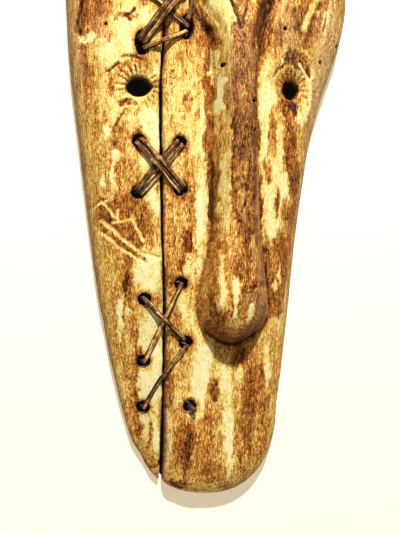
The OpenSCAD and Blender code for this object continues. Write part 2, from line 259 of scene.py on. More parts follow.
# ---------------------------------------------------------------- maps of the carved surface
CELL = 0.5
BOARD_X = {True: (-114.0, -24.0), False: (-38.0, 140.0)}
BOARD_Z = {True: (10.5, 494.0), False: (0.0, 500.0)}
MAP_Z = (-6.0, 506.0)
OVAL_HOLE = (5.0, 9.0)
LACE_R = 5.0
BROW_L, BROW_R = (-48.5, 362), (-13.5, 375)
CROWN_L, CROWN_R = (-47, 404), (-12, 412)
CHEEK_TL, CHEEK_TR, CHEEK_BL, CHEEK_BR = (-50.5, 286), (-18.5, 285), (-50.5, 246.5), (-17, 249)
JAW_L1, JAW_L2, JAW_L3 = (-44.5, 162), (-44, 112), (-43.5, 74.5)
JAW_R1, JAW_R2, JAW_R3 = (-16, 174.5), (-11.5, 127.5), (-7, 75.5)
LEFT_HOLES = [CHEEK_TL, CHEEK_BL, JAW_L1, JAW_L2, JAW_L3]
RIGHT_HOLES = [CHEEK_TR, CHEEK_BR, JAW_R1, JAW_R2, JAW_R3]
LEFT_TALL_HOLES = [BROW_L, CROWN_L]
RIGHT_TALL_HOLES = [BROW_R, CROWN_R]
WORM_HOLES = [(13, 344.5, 1.3), (35, 316, 1.3), (101, 356, 1.2), (67.5, 379, 1.4), (36, 293.5, 1.0),
              (-76, 377, 1.1), (-88, 204, 0.9), (118, 372, 1.0), (44, 421, 1.2), (-62, 433, 1.1)]
PIVOT_Z = 466.0
POCKET_HALF_W, POCKET_UP, POCKET_DOWN, POCKET_CORNER, POCKET_D = 18.0, 20.0, 34.0, 6.0, 8.0
PILOT_R, PILOT_DEPTH = 1.65, 22.0
SCREW_DROPS = (11.0, 23.0)


class Maps:
    """Square grid of named fields over the carving, read back between its cells."""

    def __init__(self, low_x, high_x):
        self.low_x = low_x
        self.xs = np.arange(low_x, high_x, CELL)
        self.zs = np.arange(MAP_Z[0], MAP_Z[1], CELL)
        self.x, self.z = np.meshgrid(self.xs, self.zs, indexing="ij")
        self.fields = {}

    def __setitem__(self, name, values):
        self.fields[name] = np.broadcast_to(values, self.x.shape).astype(np.float32)

    def __getitem__(self, name):
        return self.fields[name]

    def read(self, name, x, z):
        f = self.fields[name]
        u = np.clip((x - self.low_x) / CELL, 0, f.shape[0] - 1.001)
        v = np.clip((z - MAP_Z[0]) / CELL, 0, f.shape[1] - 1.001)
        i, j = u.astype(int), v.astype(int)
        u, v = u - i, v - j
        return ((f[i, j] * (1 - u) + f[i + 1, j] * u) * (1 - v)
                + (f[i, j + 1] * (1 - u) + f[i + 1, j + 1] * u) * v)

    def window(self, x, z, reach_x, reach_z):
        """Index of the cells within reach of a place."""
        return (slice(*np.searchsorted(self.xs, (x - reach_x, x + reach_x))),
                slice(*np.searchsorted(self.zs, (z - reach_z, z + reach_z))))

    def dabs(self, values, rows, x, z, edge=0.5, blend=None):
        """Brushes (x, z, half width, half height, value) rows onto values, in warped x and z."""
        for cx, cz, rx, rz, value in rows:
            w = self.window(cx, cz, rx * 1.6 + 7, rz * 1.6 + 14)
            d = np.hypot((x[w] - cx) / rx, (z[w] - cz) / rz)
            amount = 1 - ramp((d - 1 + edge / 2) / edge)
            values[w] = (blend or mix)(values[w], value, 0.94 * amount)
        return values

    def strokes(self, values, rows, x, z, edge=0.6, blend=None):
        """Draws (points, half width, value) rows onto values."""
        for points, width, value in rows:
            low, high = np.min(points, 0) - 2 * width - 3, np.max(points, 0) + 2 * width + 3
            middle, reach = (low + high) / 2, (high - low) / 2
            w = self.window(*middle, *reach)
            d = stroke_distance(x[w], z[w], points) / width
            amount = 1 - ramp((d - 1 + edge / 2) / edge)
            values[w] = (blend or mix)(values[w], value, amount)
        return values


def add_share(values, value, amount):
    return values + value * amount


def at_least(values, value, amount):
    return np.maximum(values, value * amount)


def blur(f, cells):
    """Box blur, twice, by running sums."""
    for _ in range(2):
        for axis in (0, 1):
            pad = [(0, 0), (0, 0)]
            pad[axis] = (cells + 1, cells)
            c = np.cumsum(np.pad(f, pad, mode="edge"), axis=axis, dtype=np.float64)
            n = f.shape[axis]
            far = np.take(c, range(2 * cells + 1, 2 * cells + 1 + n), axis=axis)
            f = (far - np.take(c, range(n), axis=axis)) / (2 * cells + 1)
    return f


# ---------------------------------------------------------------- carving and paint
MID_TONE, TONE_CONTRAST = 0.46, 1.12

# Brushed colour and wear, and a few rows of painted shade and shadow marked where they stand, painted in
# this order: (x, z, half width, half height, tone).
# Tone runs from 0, thick white clay, over tan wood near 0.45 to 1, burnt black.
DABS = [
    # edge and cheek of the left board
    (-96, 380, 14, 60, 0.45), (-88, 310, 9, 50, 0.45), (-93, 343, 3, 22, 0.62), (-94, 385, 4, 10, 0.80),
    (-82, 384, 11, 13, 0.60), (-75, 391, 5, 7, 0.58), (-75, 369, 5, 11, 0.48), (-55, 374, 16, 26, 0.12),
    (-60, 383, 8, 3, 0.56), (-72, 352, 14, 11, 0.12), (-84, 356, 4, 6, 0.30), (-90, 367, 5, 4, 0.04),
    (-58, 330, 22, 24, 0.24), (-66, 306, 8, 8, 0.28), (-44, 345, 10, 12, 0.20), (-73, 330, 2, 9, 0.60),
    # (-45, 350) is partly brown wood and partly the painted shadow of the brow strands above it
    (-66, 286, 5, 17, 0.46), (-77, 296, 4, 14, 0.38), (-45, 350, 9, 8, 0.46), (-41, 292, 8, 20, 0.05),
    (-53, 300, 8, 8, 0.22),
    (-57, 281, 5, 9, 0.26), (-50, 294, 2, 4, 0.62),
    (-76, 294, 3, 4, 0.00), (-69, 276, 3, 4, 0.02), (-82, 262, 11, 17, 0.52), (-69, 262, 2, 13, 0.08),
    (-76, 256, 1.6, 6, 0.14), (-60, 262, 8, 14, 0.46), (-43, 266, 8, 10, 0.12), (-42, 238, 8, 16, 0.08),
    # scratched field on the left cheek
    (-62, 226, 21, 15, 0.62), (-60, 232, 17, 12, 0.66), (-74, 229, 9, 10, 0.72),
    (-51, 219, 9, 13, 0.66), (-60, 212, 12, 8, 0.65),
    (-45, 204, 12, 6, 0.50), (-54, 204, 9, 4, 0.66), (-88, 226, 5, 22, 0.46), (-75, 190, 8, 26, 0.46),
    (-58, 175, 5, 28, 0.56), (-59, 174, 3, 9, 0.74), (-42, 183, 11, 17, 0.06), (-47, 158, 6, 10, 0.30),
    (-72, 160, 9, 32, 0.44), (-62, 150, 1.8, 14, 0.08), (-56, 152, 2.4, 4, 0.14), (-55, 140, 4, 12, 0.56),
    (-38, 135, 9, 19, 0.04), (-34, 200, 3, 12, 0.30),
    # lower left board
    (-60, 92, 9, 44, 0.46), (-63, 130, 1.6, 8, 0.24), (-50, 100, 2.0, 42, 0.68), (-39, 100, 9, 32, 0.05),
    (-31, 128, 3, 40, 0.12), (-39, 60, 8, 18, 0.24), (-47, 54, 3, 9, 0.74), (-38, 50, 1.6, 12, 0.60),
    (-33, 50, 2, 14, 0.05), (-34, 27, 4, 5, 0.56), (-38, 27, 5, 8, 0.60), (-52, 62, 5, 16, 0.54),
    # forehead and the cheek beside the split
    (-14, 345, 16, 30, 0.36), (-14, 300, 16, 40, 0.25), (-12, 317, 3, 8, 0.48), (-4, 308, 3, 5, 0.46),
    (-26, 300, 4, 7, 0.46), (-25, 336, 6, 10, 0.34), (-2, 380, 12, 18, 0.45), (-8, 384, 4, 9, 0.66),
    (2, 369, 8, 8, 0.54), (-12, 352, 6, 5, 0.44), (12, 385, 6, 16, 0.26), (4, 392, 4, 8, 0.20),
    (12, 360, 6, 12, 0.40),
    # groove beside the nose and the light wedge in it
    (3, 320, 3.6, 52, 0.48), (-1, 296, 2.4, 26, 0.10), (4, 262, 3.4, 20, 0.48), (12, 300, 6, 44, 0.34),
    (7, 346, 2.4, 12, 0.04), (11, 324, 2.6, 16, 0.03), (16, 318, 2, 18, 0.54), (13, 284, 5, 14, 0.46),
    # nose ridge
    (28, 340, 9.5, 62, 0.68), (28, 283, 9, 30, 0.74), (28, 395, 8, 20, 0.42), (22, 372, 3, 20, 0.62),
    # (37, 300) is painted shade along the nose ridge's steep right flank
    (30, 230, 11, 46, 0.72), (20, 345, 2, 40, 0.70), (20, 290, 1.8, 40, 0.82), (37, 300, 2, 70, 0.78),
    (27, 237, 4, 15, 0.56), (30, 248, 2, 3, 0.90), (26, 264, 3, 6, 0.56),
    (14, 236, 4, 32, 0.26), (18, 222, 3, 14, 0.22), (10, 240, 1.8, 34, 0.62), (7, 250, 1.4, 28, 0.64),
    (12, 200, 6, 22, 0.34), (20, 205, 3, 20, 0.44), (34, 200, 4, 12, 0.40), (24, 202, 2.4, 7, 0.16),
    # bulb; (21, 116) paints the bulb's shadow on the face below it
    (24, 165, 22, 42, 0.62), (5, 160, 6, 28, 0.76), (44, 160, 6, 26, 0.62), (12, 190, 7, 26, 0.42),
    (13, 172, 6, 20, 0.40),
    (10, 186, 3, 12, 0.12), (12, 166, 3, 12, 0.18),
    (27, 190, 7, 14, 0.62), (22, 172, 3.2, 9, 0.05), (22, 158, 2.6, 14, 0.02), (35, 152, 4, 8, 0.05),
    (34, 165, 5, 6, 0.58), (35, 171, 3, 1.8, 0.92), (3, 145, 1.8, 12, 0.24), (26, 138, 16, 9, 0.54),
    (10, 140, 5, 10, 0.72), (21, 116, 23, 12, 0.66),
    (1, 152, 1.6, 10, 0.30), (24, 146, 5, 3, 0.40), (9, 148, 4, 14, 0.78),
    # cheek between the split and the nose
    (-25, 236, 6, 14, 0.42), (-11, 246, 6, 28, 0.50), (-18, 222, 9, 10, 0.34), (0, 216, 6, 54, 0.04),
    (-11, 206, 6, 12, 0.72), (-24, 208, 6, 14, 0.42), (-16, 190, 4, 5, 0.70), (-26, 178, 4, 14, 0.58),
    (-8, 188, 5, 10, 0.30), (-10, 160, 9, 22, 0.18), (-20, 146, 5, 12, 0.48), (-4, 140, 6, 20, 0.08),
    (-23, 106, 4, 30, 0.46),
    # right brow and eye
    (46, 385, 7, 16, 0.82), (44, 365, 4, 10, 0.70), (60, 374, 12, 24, 0.55), (50, 356, 5, 8, 0.62),
    (66, 356, 4, 10, 0.22), (72, 392, 6, 14, 0.50), (84, 384, 9, 18, 0.66), (52, 326, 9, 28, 0.06),
    (60, 338, 8, 8, 0.30), (59, 292, 5, 21, 0.52), (66, 284, 4, 20, 0.14), (50, 290, 4, 30, 0.08),
    # (77, 355) is painted shade in the notch under the brow above the right eye
    (56, 268, 5, 6, 0.50), (77, 355, 9, 5, 0.80), (88, 346, 4, 8, 0.74), (76, 343, 5, 6, 0.44),
    (85, 336, 6, 12, 0.24), (93, 336, 2.5, 14, 0.10), (90, 316, 4, 8, 0.10), (84, 308, 6, 6, 0.14),
    (72, 315, 7, 10, 0.72), (76, 317, 4, 6, 0.88), (74, 288, 6, 22, 0.66), (87, 285, 6, 16, 0.44),
    (108, 360, 12, 34, 0.46), (105, 390, 5, 10, 0.16), (97, 300, 7, 34, 0.50),
    # right cheek
    (59, 240, 9, 34, 0.06), (70, 252, 9, 14, 0.10), (56, 210, 4, 12, 0.08), (55, 264, 4, 6, 0.50),
    (64, 239, 3, 11, 0.68), (72, 232, 3, 10, 0.60), (80, 262, 5, 18, 0.70), (80, 220, 6, 30, 0.66),
    (68, 204, 9, 12, 0.70), (47, 215, 3, 40, 0.62), (68, 172, 12, 34, 0.62), (69, 182, 1.8, 9, 0.20),
    (65, 171, 3, 5, 0.16), (76, 158, 3, 14, 0.34), (54, 180, 4, 34, 0.60), (70, 140, 7, 8, 0.30),
    # chin
    (4, 106, 24, 34, 0.30), (0, 92, 7, 20, 0.05), (4, 116, 7, 10, 0.06), (-14, 100, 5, 26, 0.34),
    (13, 88, 4, 9, 0.68), (21, 90, 5, 20, 0.14), (33, 100, 4, 9, 0.20), (46, 84, 9, 30, 0.66),
    (58, 106, 4, 20, 0.12), (66, 104, 5, 28, 0.48), (56, 60, 8, 30, 0.54), (-11, 42, 9, 22, 0.68),
    (-9, 38, 4, 16, 0.74), (6, 44, 9, 22, 0.54), (24, 60, 5, 13, 0.08), (25, 42, 4, 10, 0.06),
    (27, 26, 2.4, 12, 0.08), (38, 40, 8, 30, 0.58), (46, 28, 9, 20, 0.52), (10, 20, 14, 9, 0.60),
    (6, 8, 9, 4, 0.40), (-14, 13, 7, 4, 0.90), (-23.5, 55, 2.5, 28, 0.28), (-23.5, 100, 2.6, 22, 0.66),
    (28, 9, 10, 6, 0.50), (-2, 70, 8, 6, 0.22),
    # crown
    (-84, 428, 16, 34, 0.60), (-55, 440, 16, 40, 0.22), (-68, 462, 14, 12, 0.56), (-38, 450, 6, 34, 0.52),
    (-10, 446, 12, 44, 0.34), (-18, 424, 6, 18, 0.62), (6, 462, 9, 24, 0.56), (24, 436, 12, 34, 0.60),
    (44, 452, 8, 40, 0.30), (58, 430, 10, 30, 0.60), (70, 456, 12, 24, 0.26), (88, 434, 9, 30, 0.58),
    (104, 440, 10, 24, 0.28), (122, 420, 8, 34, 0.56), (84, 470, 22, 9, 0.62), (10, 490, 60, 7, 0.66),
    (-44, 484, 30, 8, 0.60), (30, 476, 10, 9, 0.20), (-20, 478, 12, 7, 0.24),
]

# Lines over the face, painted in this order: (points, paint, cut), where paint is
# (half width, tone), cut is (half width, depth) in millimetres, and None leaves one out
LINES = [
    ([(-88, 231), (-80, 238), (-73, 241)], (0.9, 0.16), None),
    ([(-79, 240), (-72, 232), (-66, 225), (-66, 233)], (1.1, 0.12), (1.1, 0.9)),
    ([(-70, 222), (-62, 223.5), (-53, 226)], (1.1, 0.16), (0.9, 0.8)),
    ([(-55, 227), (-52, 219), (-46, 209)], (1.3, 0.10), (1, 0.8)),
    # painted shade: a dark line along the nose ridge's steep right flank
    ([(37.5, 356), (37.5, 300), (38.5, 240), (39.5, 205)], (1.4, 0.84), None),
    ([(-78, 224), (-69, 216), (-60, 208), (-48, 199), (-33, 195)], (1.4, 0.08), (1.3, 1)),
    ([(-82, 219), (-75, 212), (-66, 204), (-55, 197), (-44, 191)], (1.1, 0.12), (1, 0.8)),
    ([(-77, 217), (-66, 208), (-55, 200), (-45, 194)], (1.4, 0.74), None),
    ([(-10, 392), (2, 374), (9, 362)], (1.6, 0.74), (1.8, 1.2)),
    ([(17, 398), (21, 384), (25, 372)], (1.2, 0.78), (1.3, 1.2)),
    ([(33, 398), (29, 385), (26, 372)], (1.1, 0.74), (1.3, 1)),
    ([(14, 398), (17, 388), (20, 378)], (1.4, 0.20), None),
    ([(38, 365), (45, 385), (55, 400)], (4, 0.86), None),
    ([(86, 366), (91, 382), (99, 402)], (1.6, 0.66), (2.2, 1.2)),
    # carved arc over the right eye, painted dark as shade under the brow
    ([(67, 356), (73, 361), (79, 359), (86, 353), (92, 344)], (2, 0.72), (2.8, 1.1)),
    ([(58, 340), (62, 346), (68, 351)], (1, 0.66), (1.2, 0.8)),
    ([(81, 352), (90, 342), (94, 330), (91, 314)], (1.3, 0.08), None),
    ([(-98, 374), (-96, 384), (-93, 398)], (1.2, 0.84), (1.4, 1.8)),
    ([(-97, 371), (-95, 374)], (1.6, 0.96), None),
    ([(-63, 351.5), (-56, 352), (-49, 350)], (1, 0.70), (1.1, 0.9)),
    ([(-75, 340), (-70, 343), (-66, 347)], (1, 0.80), (1.1, 0.8)),
    ([(-60, 311), (-66, 303), (-70, 296), (-69, 283)], (0.8, 0.68), (1, 0.6)),
    ([(-64, 315), (-59, 316.5), (-54, 315)], (2.2, 0.86), (2.4, 1.7)),
    ([(-72, 327), (-69, 336), (-64, 344), (-56, 349), (-46, 348)], (1.8, 0.52), (2.4, 0.7)),
    ([(-51, 314), (-51.5, 307)], (1, 0.62), None),
    ([(-43, 320), (-44, 310)], (1.3, 0.58), None),
    ([(-50, 46), (-43, 32), (-36, 23.5), (-31, 24), (-29, 30)], (1.1, 0.90), (0.9, 1)),
    ([(33, 172), (36, 170.5), (38, 173)], (1, 0.95), (1.1, 1.4)),
    ([(29, 252), (31, 243), (28, 234)], (0.7, 0.92), None),
    ([(-67, 380), (-60, 383), (-54, 388)], (1.2, 0.84), None),
    ([(91, 367), (97, 384), (104, 402)], (2.6, 0.66), None),
    ([(84, 380), (92, 400)], (2.5, 0.24), None),
    ([(97, 362), (103, 374), (110, 390)], (2.6, 0.30), None),
    ([(60, 384), (68, 402)], (2.4, 0.30), None),
    ([(57, 402), (72, 424), (84, 446)], (3.4, 0.74), None),
    ([(104, 402), (112, 424)], (2.4, 0.66), None),
    ([(68, 402), (80, 424)], (2.2, 0.26), None),
    ([(103, 380), (106, 398)], (0.6, 0.85), (0.8, 1.1)),
    ([(60, 228), (63, 225), (64, 230)], (1, 0.74), None),
    ([(8, 3), (-6, 7), (-18, 14)], (1.4, 0.62), None),
    ([(0, 3), (12, 3.5), (22, 4)], (1.6, 0.34), None),
    ([(3.5, 372), (3.5, 330), (4.5, 270), (5.5, 215), (3, 180), (-1, 150)], None, (3.4, 1.6)),
    ([(-34, 372), (-34, 345)], None, (5, 1.5)),
    ([(-3, 396), (8, 380), (14, 368)], None, (1.5, 0.8)),
    ([(37, 360), (41, 375), (47, 388), (57, 402), (72, 420)], None, (4.6, 3.4)),
    ([(-92, 366), (-95, 372)], None, (1.6, 1.4)),
    ([(-88, 231), (-80, 239), (-73, 241)], None, (1, 0.9)),
    ([(-72, 322), (-69, 314), (-62, 307)], None, (2.4, 0.5)),
    ([(-49, 70), (-50, 58), (-47, 50)], None, (1, 0.6)),
    ([(29, 252), (31, 243), (28, 234), (25, 226)], None, (0.8, 0.9)),
    ([(108, 376), (110, 390)], None, (0.6, 0.9)),
    ([(-20, 300), (-22, 292)], None, (0.8, 0.5)),
    ([(8, 150), (4, 160), (2, 175)], None, (1.2, 0.8)),
    ([(62, 392), (66, 372), (64, 356)], None, (2, 0.6)),
]


def painted_lines():
    return [(points, *paint) for points, paint, cut in LINES if paint]


def carved_lines():
    return [(points, *cut) for points, paint, cut in LINES if cut]


# Greyish pink skin of old handling: (x, z, half width, half height, strength); (38, 240), along the nose
# ridge's right flank, is partly painted shade
BLUSHES = [
    (-100, 350, 8, 60, 0.6), (-77, 370, 8, 14, 0.5), (20, 345, 5, 45, 0.7), (30, 330, 9, 80, 0.45),
    (38, 240, 4, 50, 0.35), (27, 240, 5, 18, 0.5), (34, 165, 5, 8, 1.0), (44, 180, 5, 40, 0.35),
    (108, 350, 14, 60, 0.8), (72, 378, 14, 26, 0.5), (98, 290, 9, 50, 0.6), (84, 200, 8, 60, 0.5),
    (76, 150, 8, 30, 0.4), (30, 285, 10, 30, 0.35), (-24, 50, 3, 40, 0.8), (30, 8, 12, 8, 0.6),
]

# Dark specks over clay: (x, z, half width, half height, density)
SPECKS = [
    (-60, 384, 12, 6, 0.5), (-25, 334, 8, 12, 1.0), (-12, 355, 10, 12, 0.8), (-14, 300, 16, 40, 0.45),
    (-50, 330, 26, 26, 0.5), (60, 250, 14, 50, 0.5), (-40, 150, 10, 60, 0.6), (50, 374, 9, 14, 1.0),
    (62, 368, 12, 22, 0.7), (-18, 208, 12, 14, 0.9), (-6, 190, 8, 12, 0.9),
    (-92, 372, 6, 22, 0.8), (16, 318, 4, 18, 0.8), (55, 320, 10, 30, 0.35), (5, 214, 4, 50, 0.5),
    (-40, 200, 10, 14, 0.5), (-7, 108, 14, 30, 0.4), (24, 60, 6, 26, 0.7), (22, 385, 8, 10, 0.8),
    (60, 240, 10, 30, 0.3), (14, 230, 6, 30, 0.3), (38, 176, 6, 20, 0.7), (0, 12, 24, 8, 0.7),
    (-45, 260, 10, 30, 0.3), (74, 346, 20, 12, 0.5), (-70, 350, 14, 10, 0.25),
]

# Golden flecks over dark wood: (x, z, half width, half height, density)
FLECKS = [
    (28, 340, 8, 40, 1.0), (24, 285, 8, 25, 0.5), (34, 196, 5, 20, 0.9), (28, 140, 16, 12, 0.7),
    (6, 30, 18, 26, 0.9), (44, 50, 16, 40, 0.5), (-62, 90, 10, 50, 0.6), (-84, 300, 12, 60, 0.5),
    (10, 150, 8, 16, 0.6), (60, 380, 14, 20, 0.5), (8, 20, 20, 14, 1.0), (-75, 190, 12, 40, 0.5),
]


def board_edges(m, left):
    """Gaps from each cell to the board's outer edge and to the split, and the map of the nearer one."""
    x, z = m.x, m.z
    wander = 0.35 * noise(x * 0, z, 1, 22, 301) + 0.15 * noise(x * 0, z, 1, 5, 302)
    if left:
        outer_gap, edge_gap, follow = x - left_at(z), curve(z, SPLIT_LINE) - SPLIT_GAP / 2 - x, 0.7
    else:
        outer_gap, edge_gap, follow = right_at(z) - x, x - inner_at(z), -0.4
    inside = np.minimum(outer_gap, edge_gap + follow * wander)
    # sideways distances become true ones where the outline leans, and run down at both ends
    low, high = BOARD_Z[left]
    lean_x, lean_z = np.gradient(inside, CELL)
    inside = inside / np.clip(np.hypot(lean_x, lean_z), 1, 4)
    inside = np.minimum(inside, np.minimum(z - low, high - z))
    ragged = 0.7 * noise(x, z, 16, 16, 303, 2) + 0.25 * noise(x, z, 3.5, 3.5, 304, 2)
    m["inside"] = inside + ragged * 0.55
    m["edge_gap"] = edge_gap
    return outer_gap, edge_gap


def painted_tone(m, outer_gap, near_x, near_z):
    """Tone of the front before its relief, and its mottle; the maps of blush, specks and flecks."""
    x, z = m.x, m.z
    warp_x = x + 2.2 * noise(x, z, 8, 13, 311) + 1.2 * noise(x, z, 2.2, 4, 312)
    warp_z = z + 3.5 * noise(x, z, 8, 13, 313) + 2.0 * noise(x, z, 2.2, 4, 314)
    tone = np.full(x.shape, 0.42)
    m.dabs(tone, DABS, warp_x, warp_z, 0.85)
    streaks = noise(x, z, 1.7, 15, 321, 4)
    broad = noise(x, z, 8, 17, 322, 4)
    mottle = noise(x, z, 3.6, 5.0, 323, 5)
    tone += 0.06 * streaks * (0.3 + ramp(tone * 2)) + 0.09 * mottle + 0.07 * broad
    tone = MID_TONE + (tone - MID_TONE) * TONE_CONTRAST
    drawn = m.strokes(tone.copy(), painted_lines(), near_x, near_z, 1.3)
    broken = np.where(drawn > tone, 0.55 + 0.6 * noise(x, z, 5, 5, 317, 2), 0.95)
    tone = mix(tone, drawn, np.clip(broken, 0.05, 1))
    # side of the board: bare pale tan wood, with fine lines
    side = 1 - ramp((outer_gap - 4) / 6)
    tone = mix(tone, 0.42 + 0.10 * streaks, 0.75 * side)
    for key, rows, edge in (("blush", BLUSHES, 0.9), ("specks", SPECKS, 1.2), ("flecks", FLECKS, 1.2)):
        m[key] = m.dabs(np.zeros(x.shape), rows, warp_x, warp_z, edge, at_least)
    return tone, mottle


def front_maps(left):
    """Front height, its paint and its edge distances for one board, as named fields."""
    m = Maps(*BOARD_X[left])
    x, z = m.x, m.z
    outer_gap, edge_gap = board_edges(m, left)
    near_x = x + 0.8 * noise(x, z, 5, 5, 315, 4)
    near_z = z + 0.8 * noise(x, z, 5, 6, 316, 4)
    tone, mottle = painted_tone(m, outer_gap, near_x, near_z)

    clay = 1 - ramp((tone - 0.12) / 0.28)
    relief = 0.30 * clay - 0.22 * ramp((tone - 0.6) / 0.3)
    relief += 0.14 * noise(x, z, 1.6, 26, 331, 2) + 0.6 * noise(x, z, 13, 44, 332, 3)
    relief -= 0.5 * scallops(x, z, 11, 34, 333)
    relief -= m.strokes(np.zeros(x.shape), carved_lines(), near_x, near_z, 1.2, add_share)
    roundness = 0.9 - 0.55 * ramp((z - 190) / 120)
    relief += (nose(x, z, roundness) - nose(x, z)) * arch(x, z) ** 0.4
    eye_relief, eye_painted_shade = eye_cuts(x, z)
    relief += eye_relief
    if not left:
        rounded = (1 - np.clip(edge_gap / 6, 0, 1)) ** 2 * ramp((150 - z) / 40)
        relief -= 2.4 * rounded
        tone += 0.12 * rounded
    m["height"] = plain_front(x, z, left) + relief
    m["tone"] = shade_and_wear_tone(m, tone + eye_painted_shade, mottle)

    depth = back(x, z)
    gouged = scallops(x, z, 12, 19, 341)
    adze = 1.1 * gouged + 0.25 * noise(x, z, 3, 12, 342)
    m["back"] = np.where(depth > 0, depth + np.minimum(adze, depth * 0.4), depth)
    m["back_tone"] = 0.62 + 0.12 * noise(x, z, 5, 40, 351, 4) + 0.10 * gouged
    return m


def shade_and_wear_tone(m, tone, mottle):
    """The tone with painted shade in the hollows and where the surface faces down, and bare wood, partly
    painted shade, on the bulb's flanks.
    """
    x, z = m.x, m.z
    smooth_height = blur(m["height"].astype(float), 4)
    # painted shade: darker in small hollows and a little lighter on ridges, darker still in broad grooves
    tone = tone + 0.26 * np.clip(smooth_height - m["height"], -0.1, 0.6)
    broad_hollow = blur(smooth_height, 16) - smooth_height
    tone = tone + 0.03 * np.clip(broad_hollow, -1.0, 3.0)
    # painted shade: darker where the surface faces down, as under the tip of the nose
    lean_x, lean_z = np.gradient(smooth_height, CELL)
    overhang = ramp((lean_z - 0.5) / 1.3)
    tone = tone + 0.34 * overhang * ramp((z - 40) / 30)
    # and along the steep flanks of the bulb, stronger on the flank facing left: partly clay worn off to
    # bare wood, partly painted shade
    by_bulb = ramp((34 - np.abs(x - 23)) / 5) * ramp((z - 122) / 6) * (1 - ramp((z - 205) / 40))
    flank_wear_and_shade = by_bulb * ramp((np.abs(lean_x) - 0.75) / 1.1) * np.where(lean_x > 0, 0.7, 0.5)
    tone = mix(tone, 0.61 + 0.16 * mottle, flank_wear_and_shade)
    tone = tone + 0.45 * (tone - blur(tone, 2))
    return np.clip(tone, 0, 1)


def plain_front(x, z, left):
    """front() with the left board's sinking only on the left board, so that no step is blurred."""
    base = front(x, z)
    sunk = curve(z, SUNK) * ramp(arch(x, z) * 1.6)
    return base + np.where(x < curve(z, SPLIT_LINE), sunk, 0) - (sunk if left else 0)


# Gouge cuts round each eye: its middle, their number, then (inner, outer, depth) of the relief
# and (inner, outer, amount) of the painted shade in the cuts, heavier on their upper half
EYE_CUTS = [
    (LEFT_EYE, 21, (10, 21, 1.6), (9, 20, 0.42)),
    (RIGHT_EYE, 19, (8, 19, 0.8), (8, 18, 0.22)),
]
EYE_DISH = 2.6


def eye_cuts(x, z):
    """Gouge cuts that fan out around both eyes: their relief, and the painted shade in them."""
    relief, dark = 0.0, 0.0
    patches = noise(x, z, 7, 7, 363)
    for (cx, cz), cuts, (inner, outer, depth), (dark_inner, dark_outer, painted_shade_amount) in EYE_CUTS:
        r, a = np.hypot(x - cx, z - cz), np.arctan2(z - cz, x - cx)
        upper = ramp(np.sin(a) + 0.6)
        flute = 1 - np.abs(np.sin(a * cuts / 2 + 0.6 * noise(a * 3, r, 1, 9, 361)))
        band = ramp((r - inner) / 2.5) * (1 - ramp((r - outer + 5) / 5))
        patchy = np.clip(0.65 + 0.8 * patches, 0, 1) * (0.35 + 0.65 * upper)
        relief = relief - depth * band * patchy * flute ** 1.2
        relief = relief - EYE_DISH * (1 - ramp((r - inner + 3) / 13))
        # painted shade in the cuts, heavier on the upper half of each eye under the brow
        band = ramp((r - dark_inner) / 2.0) * (1 - ramp((r - dark_outer + 4) / 4))
        dark = dark + painted_shade_amount * band * flute ** 1.5 * (0.4 + (0.4 + 0.7 * patches) * upper)
    return relief, dark


# ---------------------------------------------------------------- boards as meshes
VOXEL = 0.9
ROUNDING = 1.3
MAX_H = 84.0


def smooth_max(a, b, r=ROUNDING):
    """max(a, b) with its corner rounded to about r."""
    d = np.clip(1 - np.abs(a - b) / r, 0, 1)
    return np.maximum(a, b) + d * d * r / 4


def board_field(m, left, xs, hs, zs):
    """Signed distance, about, of one board on a grid of points: negative inside."""
    x, z = np.meshgrid(xs, zs, indexing="ij")
    top, low, inside = (m.read(n, x, z) for n in ("height", "back", "inside"))
    flatness = lambda f: 1 / np.sqrt(1 + np.minimum(sum(g ** 2 for g in np.gradient(f, VOXEL)), 9))
    slope, back_slope = flatness(top), flatness(low)
    h = hs[None, :, None]
    t, b = top[:, None, :], low[:, None, :]
    f = smooth_max((h - t) * slope[:, None, :], -h + 0 * t, 0.8)
    f = smooth_max(f, (b - h) * back_slope[:, None, :], 1.0)
    f = smooth_max(f, -inside[:, None, :], 3.0)
    for cx, cz, reach, field in board_holes(left):
        i = slice(*np.searchsorted(xs, (cx - reach, cx + reach)))
        k = slice(*np.searchsorted(zs, (cz - reach, cz + reach)))
        px, pz = x[i, k][:, None, :], z[i, k][:, None, :]
        deep = t[i, :, k] - h
        f[i, :, k] = smooth_max(f[i, :, k], -field(px, pz, h, deep), 0.6)
    return f


def flare(deep):
    """How far a hole's mouth opens out at this depth below the carved surface."""
    return 1.5 * np.exp(-np.clip(deep, 0, None) / 1.6)


def burnt_hole(cx, cz, rx, rz, seed, flared=0.5):
    """Uneven oval hole straight through the board."""
    def field(x, z, h, deep):
        dx, dz = (x - cx) / rx, (z - cz) / rz
        a = np.arctan2(dz, dx)
        uneven = 0.07 * noise(a * 2 + 9, a * 0 + seed, 1, 1, seed, 2)
        return (np.hypot(dx, dz) - 1 - uneven) * min(rx, rz) - flare(deep) * flared
    return cx, cz, max(rx, rz) + 6, field


def left_eye_hole():
    """Round on its left and drawn out to a corner on its right."""
    cx, cz = LEFT_EYE

    def field(x, z, h, deep):
        corner = np.clip((x - cx) / 9.4, 0, 1)
        dx, dz = (x - cx) / 9.6, (z - cz) / (7.4 * (1 - 0.34 * corner ** 2))
        a = np.arctan2(dz, dx)
        uneven = 0.05 * noise(a * 2 + 9, a * 0, 1, 1, 420, 2)
        return (np.hypot(dx, dz) - 1 - uneven) * 8.6 - flare(deep) * 1.6
    return cx, cz, 18, field


